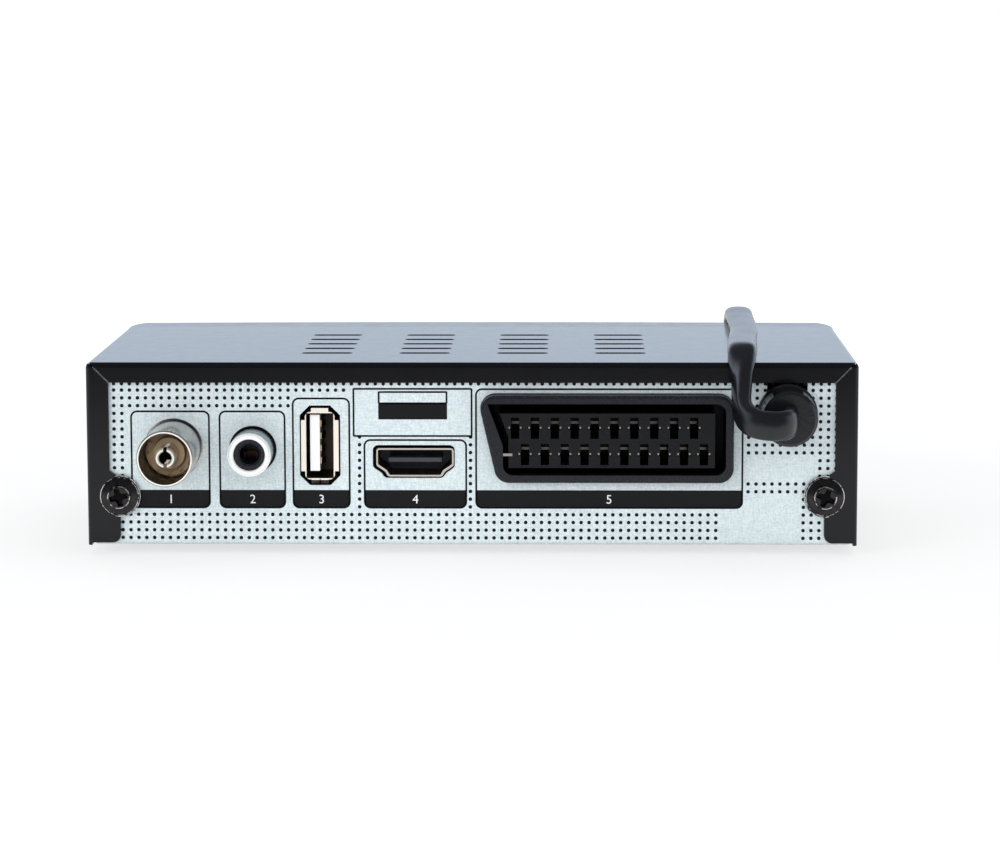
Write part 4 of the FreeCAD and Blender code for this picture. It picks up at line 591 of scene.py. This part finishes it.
def rounded(left, right, foot, top, foot_radius, top_radius):
    """Outline of a rectangle: at each corner a quarter circle of that corner's radius."""
    corners = [(right, foot, foot_radius, -90.0), (right, top, top_radius, 0.0),
               (left, top, top_radius, 90.0), (left, foot, foot_radius, 180.0)]
    outline = []
    for x, z, radius, start in corners:
        angle = np.radians(np.linspace(start, start + 90.0, ARC_POINTS))
        centre_x = x - radius * np.sign(x - (left + right) / 2)
        centre_z = z - radius * np.sign(z - (foot + top) / 2)
        arc = [centre_x + radius * np.cos(angle), centre_z + radius * np.sin(angle)]
        outline.append(np.stack(arc, -1))
    return np.concatenate(outline)


def filled_print(name, outline):
    """A printed patch: one outline at the ink's back and front, closed by a face at each."""
    count = len(outline)
    points = np.stack([on_panel(*outline.T, INK_BACK), on_panel(*outline.T, INK_FRONT)])
    faces = grid_faces(2, count, False, True)
    faces += [list(range(count)), list(range(count, 2 * count))]
    return piece(name, points, faces, INK, smooth=False)


def framed(name, left, right, foot, top, radius=CORNER):
    """A thin printed line round a place: its four edges run at the ink's back and front."""
    outer, inner = (
        rounded(left - out, right + out, foot - out, top + out, radius + out, radius + out)
        for out in (LINE / 2, -LINE / 2))
    edges = [on_panel(*outer.T, INK_BACK), on_panel(*outer.T, INK_FRONT),
             on_panel(*inner.T, INK_FRONT), on_panel(*inner.T, INK_BACK)]
    faces = grid_faces(4, len(outer), True, True)
    return piece(name, np.stack(edges), faces, INK, smooth=False)


def numeral(name, figure, u, z):
    """A plain numeral in pale ink, lying on the panel and upright from behind."""
    words = bpy.data.curves.new(name, "FONT")
    words.body = figure
    words.align_x = "CENTER"
    words.size = NUMERAL_HEIGHT * FONT_SIZE
    words.extrude = NUMERAL_DEPTH
    words.resolution_u = 4
    mesh, flat = evaluated(name + "_text", words)
    points = on_panel(u + flat[:, 0], z - NUMERAL_HEIGHT / 2 + flat[:, 1], INK_FRONT)
    points[:, 1] += flat[:, 2]
    faces = [list(face.vertices) for face in mesh.polygons]
    return piece(name, points, faces, PALE_INK, smooth=False)


def make_frames():
    """The socket frames, each with its black band and a plain numeral, and a blank plate."""
    for number, (name, (left, right, top)) in enumerate(FRAMES.items(), 1):
        framed(name + "_frame", left, right, FRAME_FOOT, top)
        band = rounded(left, right, FRAME_FOOT, BAND_TOP, CORNER, SHARP_CORNER)
        filled_print(name + "_band", band)
        numeral(name + "_numeral", str(number), (left + right) / 2, (FRAME_FOOT + BAND_TOP) / 2)
    framed("plate_outline", *PLATE_OUTLINE, PLATE_CORNER)
    framed("plate_window", *PLATE_WINDOW, PLATE_CORNER)
    filled_print("plate_bar", rounded(*PLATE_BAR, BAR_CORNER, BAR_CORNER))


DOT_PITCH = (1.5277, 1.513)
FIRST_DOT = (-69.06, 1.38)    # the leftmost one of the lowest row
DOT_LEAN = 0.0055             # how far the print leans to the right for each millimetre up
DOT_COLUMNS = 92
DOT_ROWS = 21
TOP_ROW = 31.36               # height of the uppermost row, which is half under the flange
DOT_RADIUS = 0.36
DOT_SIDES = 12
CLEAR = [                     # left, right, foot and top of the places that have no dots
    (-66.9, -35.2, 6.5, 26.5),
    (-35.2, -22.6, 6.5, 29.4),
    (-24.0, 0.3, 21.05, 30.9),
    (-21.3, -0.7, 6.5, 21.05),
    (0.3, 52.5, 6.5, 31.0),
    (52.5, 66.0, 12.7, 17.2),
    (47.5, 62.9, 0.0, 6.5),
    (52.5, 62.9, 6.5, 9.3),
]


def make_dots():
    """Printed dots on a lattice, left out of the clear places: each a thin disc."""
    u, z = np.meshgrid(FIRST_DOT[0] + DOT_PITCH[0] * np.arange(DOT_COLUMNS),
                       FIRST_DOT[1] + DOT_PITCH[1] * np.arange(DOT_ROWS))
    u, z = u.ravel(), z.ravel()
    z = np.minimum(z, TOP_ROW)
    keep = np.ones(len(u), bool)
    for left, right, foot, top in CLEAR:
        keep &= ~((u > left) & (u < right) & (z > foot) & (z < top))
    u, z = u[keep] + DOT_LEAN * z[keep], z[keep]
    angle = np.linspace(0.0, 2 * np.pi, DOT_SIDES, endpoint=False)
    rim_u = u[:, None] + DOT_RADIUS * np.cos(angle)
    rim_z = z[:, None] + DOT_RADIUS * np.sin(angle)
    points = np.stack([on_panel(rim_u, rim_z, INK_BACK), on_panel(rim_u, rim_z, INK_FRONT)], 1)
    side = np.array(grid_faces(2, DOT_SIDES, False, True))
    start = np.arange(len(u)) * 2 * DOT_SIDES
    faces = (side[None] + start[:, None, None]).reshape(-1, 4).tolist()
    disc = np.arange(DOT_SIDES)
    faces += (disc[None] + start[:, None]).tolist()
    faces += (disc[None] + start[:, None] + DOT_SIDES).tolist()
    return piece("panel_dots", points, faces, INK, smooth=False)


make_frames()
make_dots()


# ---------------------------------------------------------------- mains lead

LEAD_WIDTH = 5.6
LEAD_THICK = 3.2
SECTION_POINTS = 20
SECTION_POWER = 2.6   # 2 would make the section an ellipse, more makes it squarer
LEAD_ROUTE = [        # x, distance behind the rear panel, height; then the way its width faces
    (-60.6, 10.0, 27.8, (0, 0, 1)),
    (-60.6, 15.2, 27.8, (0, 0, 1)),
    (-57.6, 18.4, 27.5, (0, 0, 1)),
    (-53.2, 17.0, 27.9, (-0.1, 0, 1)),
    (-51.2, 12.6, 29.6, (-0.3, 0.6, 1)),
    (-51.4, 8.6, 33.0, (-0.45, 1, 0.5)),
    (-51.7, 5.0, 37.4, (-0.9, 0.5, 0.3)),
    (-51.8, 1.4, 40.4, (-1, 0, 0)),
    (-52.2, -7.6, 39.3, (-1, 0, 0)),
    (-53.0, -23.0, 39.15, (-1, 0, 0)),
    (-54.4, -41.0, 39.15, (-1, 0, 0)),
    (-54.6, -60.0, 39.15, (-1, 0, 0)),
    (-54.8, -78.4, 39.6, (-1, 0, 0)),
    (-54.9, -89.2, 33.6, (-1, 0, 0)),
    (-54.7, -97.6, 10.5, (-1, 0, 0)),
    (-55.2, -108.2, 3.0, (-1, 0, 0.1)),
    (-56.2, -120.7, 3.1, (-0.6, 0, 0.8)),
]
COIL_CENTRE = (-21.6, REAR - 140.7)
COIL_OUTER = 35.0
COIL_INNER = 26.2
COIL_LAYERS = (3.2, 8.85)     # heights of the two layers
COIL_TURNS = 5.2917
COIL_POINTS = 87
COIL_DRAW = 0.985             # share of the controls' radius at which the smooth line runs
COIL_STRAY = 0.12             # how far a turn strays from its round
COIL_STRAY_RATE = 2.3
CLIMB_START = 0.47            # share of the coil's length where the lead climbs a layer
CLIMB_SHARE = 0.06
PLUG_REAR = (8.243, -137.425, 6.85)
PLUG_WAY = (0.966, 0.259, 0.0)
PLUG_CONTROLS = (-12.0, -4.0, 3.0)    # how far past the plug's rear the last controls lie
PLUG_WIDTH_WAY = (0.259, -0.966, 0.4)
TIE_ANGLE = 250.0             # where on the coil the tie is, in degrees
TIE_WIDTH = 4.0
TIE_THICK = 0.35
TIE_ROOM = 1.95               # how far past the turns' middle lines the tie reaches
TIE_FOOT = 0.02
TIE_TOP = 12.05
TIE_CORNER = 1.2


def coil_points():
    """Control points of the coil: radius falls in the lower layer and grows in the upper one."""
    share = np.linspace(0.0, 1.0, COIL_POINTS)
    angle = np.pi + share * COIL_TURNS * 2 * np.pi
    radius = COIL_INNER + (COIL_OUTER - COIL_INNER) * np.abs(1 - 2 * share)
    radius = radius / COIL_DRAW + COIL_STRAY * np.sin(angle * COIL_STRAY_RATE)
    climb = np.clip((share - CLIMB_START) / CLIMB_SHARE, 0.0, 1.0)
    x = COIL_CENTRE[0] + radius * np.cos(angle)
    y = COIL_CENTRE[1] + radius * np.sin(angle)
    z = COIL_LAYERS[0] + (COIL_LAYERS[1] - COIL_LAYERS[0]) * climb
    return np.stack([x, y, z], -1)


def lead_controls():
    """The whole lead's control points, and at each the direction that its width faces."""
    route = np.array([(x, REAR + y, z) for x, y, z, _ in LEAD_ROUTE])
    faces = np.array([way for _, _, _, way in LEAD_ROUTE], float)
    coil = coil_points()
    tail = np.array(PLUG_REAR) + np.outer(PLUG_CONTROLS, PLUG_WAY)
    upright = np.tile([0.0, 0.0, 1.0], (len(coil) + len(tail) - 1, 1))
    last = np.array([PLUG_WIDTH_WAY])
    return np.concatenate([route, coil, tail]), np.concatenate([faces, upright, last])


def spline_points(controls):
    """Points in millimetres along a smooth spline that the controls pull along."""
    curve = bpy.data.curves.new("lead_line", "CURVE")
    curve.dimensions = "3D"
    curve.resolution_u = 8
    line = curve.splines.new("NURBS")
    line.points.add(len(controls) - 1)
    weighted = np.concatenate([controls * MM, np.ones((len(controls), 1))], 1)
    line.points.foreach_set("co", weighted.ravel())
    line.order_u = 3
    line.use_endpoint_u = True
    return evaluated("lead_line", curve)[1] / MM


def unit(rows):
    """Each row as a direction of length 1."""
    return rows / np.linalg.norm(rows, axis=-1, keepdims=True)


def make_lead():
    """A flat lead: a rounded oblong section carried along the spline, its width facing the ways."""
    controls, ways = lead_controls()
    path = spline_points(controls)
    ahead = unit(np.gradient(path, axis=0))
    step = np.linspace(0.0, len(controls) - 1.0, len(path))
    way = np.stack([np.interp(step, np.arange(len(ways)), ways[:, k]) for k in range(3)], -1)
    across = unit(way - ahead * np.sum(way * ahead, -1, keepdims=True))
    through = np.cross(ahead, across)
    angle = np.linspace(0.0, 2 * np.pi, SECTION_POINTS, endpoint=False)
    power = 2 / SECTION_POWER
    a = np.sign(np.cos(angle)) * np.abs(np.cos(angle)) ** power * LEAD_WIDTH / 2
    b = np.sign(np.sin(angle)) * np.abs(np.sin(angle)) ** power * LEAD_THICK / 2
    skin = path[:, None] + across[:, None] * a[:, None] + through[:, None] * b[:, None]
    rows, columns = skin.shape[:2]
    faces = grid_faces(rows, columns, False, True)
    faces += [list(range(columns)), list(range((rows - 1) * columns, rows * columns))]
    lead = piece("mains_lead", skin, faces, VINYL)
    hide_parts("mains_cord", "cord_coil")
    make_tie()
    return lead


def make_tie():
    """A flat tie round the turns: a rounded loop in the coil's radial plane, given a width."""
    angle = math.radians(TIE_ANGLE)
    out = np.array([math.cos(angle), math.sin(angle), 0.0])
    along = np.array([-math.sin(angle), math.cos(angle), 0.0])
    inner, outer = COIL_INNER - TIE_ROOM, COIL_OUTER + TIE_ROOM
    half = TIE_WIDTH / 2
    loops = []
    for inset, shift in ((0.0, -half), (0.0, half), (TIE_THICK, half), (TIE_THICK, -half)):
        outline = rounded(inner + inset, outer - inset, TIE_FOOT + inset, TIE_TOP - inset,
                          TIE_CORNER, TIE_CORNER)
        points = out * outline[:, :1] + along * shift
        points[:, 2] = outline[:, 1]
        loops.append(points + np.array([COIL_CENTRE[0], COIL_CENTRE[1], 0.0]))
    faces = grid_faces(4, len(loops[0]), True, True)
    return piece("lead_tie", np.stack(loops), faces, RUBBER)


make_lead()


# ---------------------------------------------------------------- studio

def make_floor():
    """A wide floor that keeps the shadow and fades into the white surround away from the part.

    What it throws back on the part is dimmer behind the box, on the camera's side.
    """
    mesh = bpy.data.meshes.new("floor")
    half = 6.0
    mesh.from_pydata([(-half, -half, 0), (half, -half, 0), (half, half, 0), (-half, half, 0)],
                     [], [(0, 1, 2, 3)])
    floor = bpy.data.objects.new("floor", mesh)
    bpy.context.scene.collection.objects.link(floor)
    finish = Finish("floor_white", Roughness=1.0, Specular_IOR_Level=0.0, Emission_Strength=1.0)
    x, y, _ = finish.axes()
    seen = finish.add("ShaderNodeLightPath", output="Is Camera Ray")
    dim = y.ramp(140.0, 380.0)
    lit = finish.mix(dim, grey(0.92), grey(0.12))
    finish.give(Base_Color=finish.mix(seen, lit, grey(0.26)))
    away = ((x * x + y * y) ** 0.5).ramp(120.0, 420.0)
    glow = finish.mix(away, grey(0.70), grey(1.0))
    finish.give(Emission_Color=finish.mix(seen, grey(0.0), glow))
    mesh.materials.append(finish.material)


SOFT_LIGHT = (0.86, 0.88, 0.91, 1.0)      # what the surround sheds on dull faces
MIRRORED = (0.9, 1.03, 1.22, 1.0)         # what polished faces mirror of it
MIRRORED_DIM = (0.16, 0.17, 0.19, 1.0)    # the same overhead and on the camera's side


def make_world():
    """White for the eye; for gloss a cool bright surround, dim overhead and towards the camera."""
    world = bpy.data.worlds.new("studio")
    world.use_nodes = True
    bpy.context.scene.world = world
    nodes = Nodes(world.node_tree)
    way = nodes.add("ShaderNodeTexCoord", output="Generated")
    rearward = nodes.add("ShaderNodeSeparateXYZ", None, {0: way}, 1)
    upward = nodes.add("ShaderNodeSeparateXYZ", None, {0: way}, 2)
    dim = rearward.ramp(-0.05, 0.45).most(upward.ramp(0.25, 0.6))
    gloss = nodes.mix(dim, MIRRORED, MIRRORED_DIM)
    light = nodes.mix(nodes.add("ShaderNodeLightPath", output="Is Glossy Ray"), SOFT_LIGHT, gloss)
    shown = nodes.mix(nodes.add("ShaderNodeLightPath", output="Is Camera Ray"), light, grey(1.0))
    nodes.tree.links.new(shown.socket, nodes.tree.nodes["Background"].inputs["Color"])


def area_light(name, place, aim, width, depth, power):
    """A soft box at a place, facing an aim point, that polished faces don't show."""
    data = bpy.data.lights.new(name, "AREA")
    data.shape = "RECTANGLE"
    data.size = width
    data.size_y = depth
    data.energy = power
    light = bpy.data.objects.new(name, data)
    light.location = place
    light.visible_glossy = False
    light.rotation_mode = "QUATERNION"
    light.rotation_quaternion = (Vector(aim) - Vector(place)).to_track_quat("-Z", "Y")
    bpy.context.scene.collection.objects.link(light)


make_floor()
make_world()
area_light("key_box", (0.9, 0.95, 0.5), (0, 0, 0.02), 0.8, 0.6, 5.8)
area_light("front_box", (0.05, 1.3, 0.45), (0, 0, 0.02), 0.4, 0.4, 2.4)
area_light("top_box", (-0.2, -0.2, 1.2), (0, 0, 0), 1.0, 1.0, 3.0)

bpy.context.scene.view_settings.view_transform = "Standard"
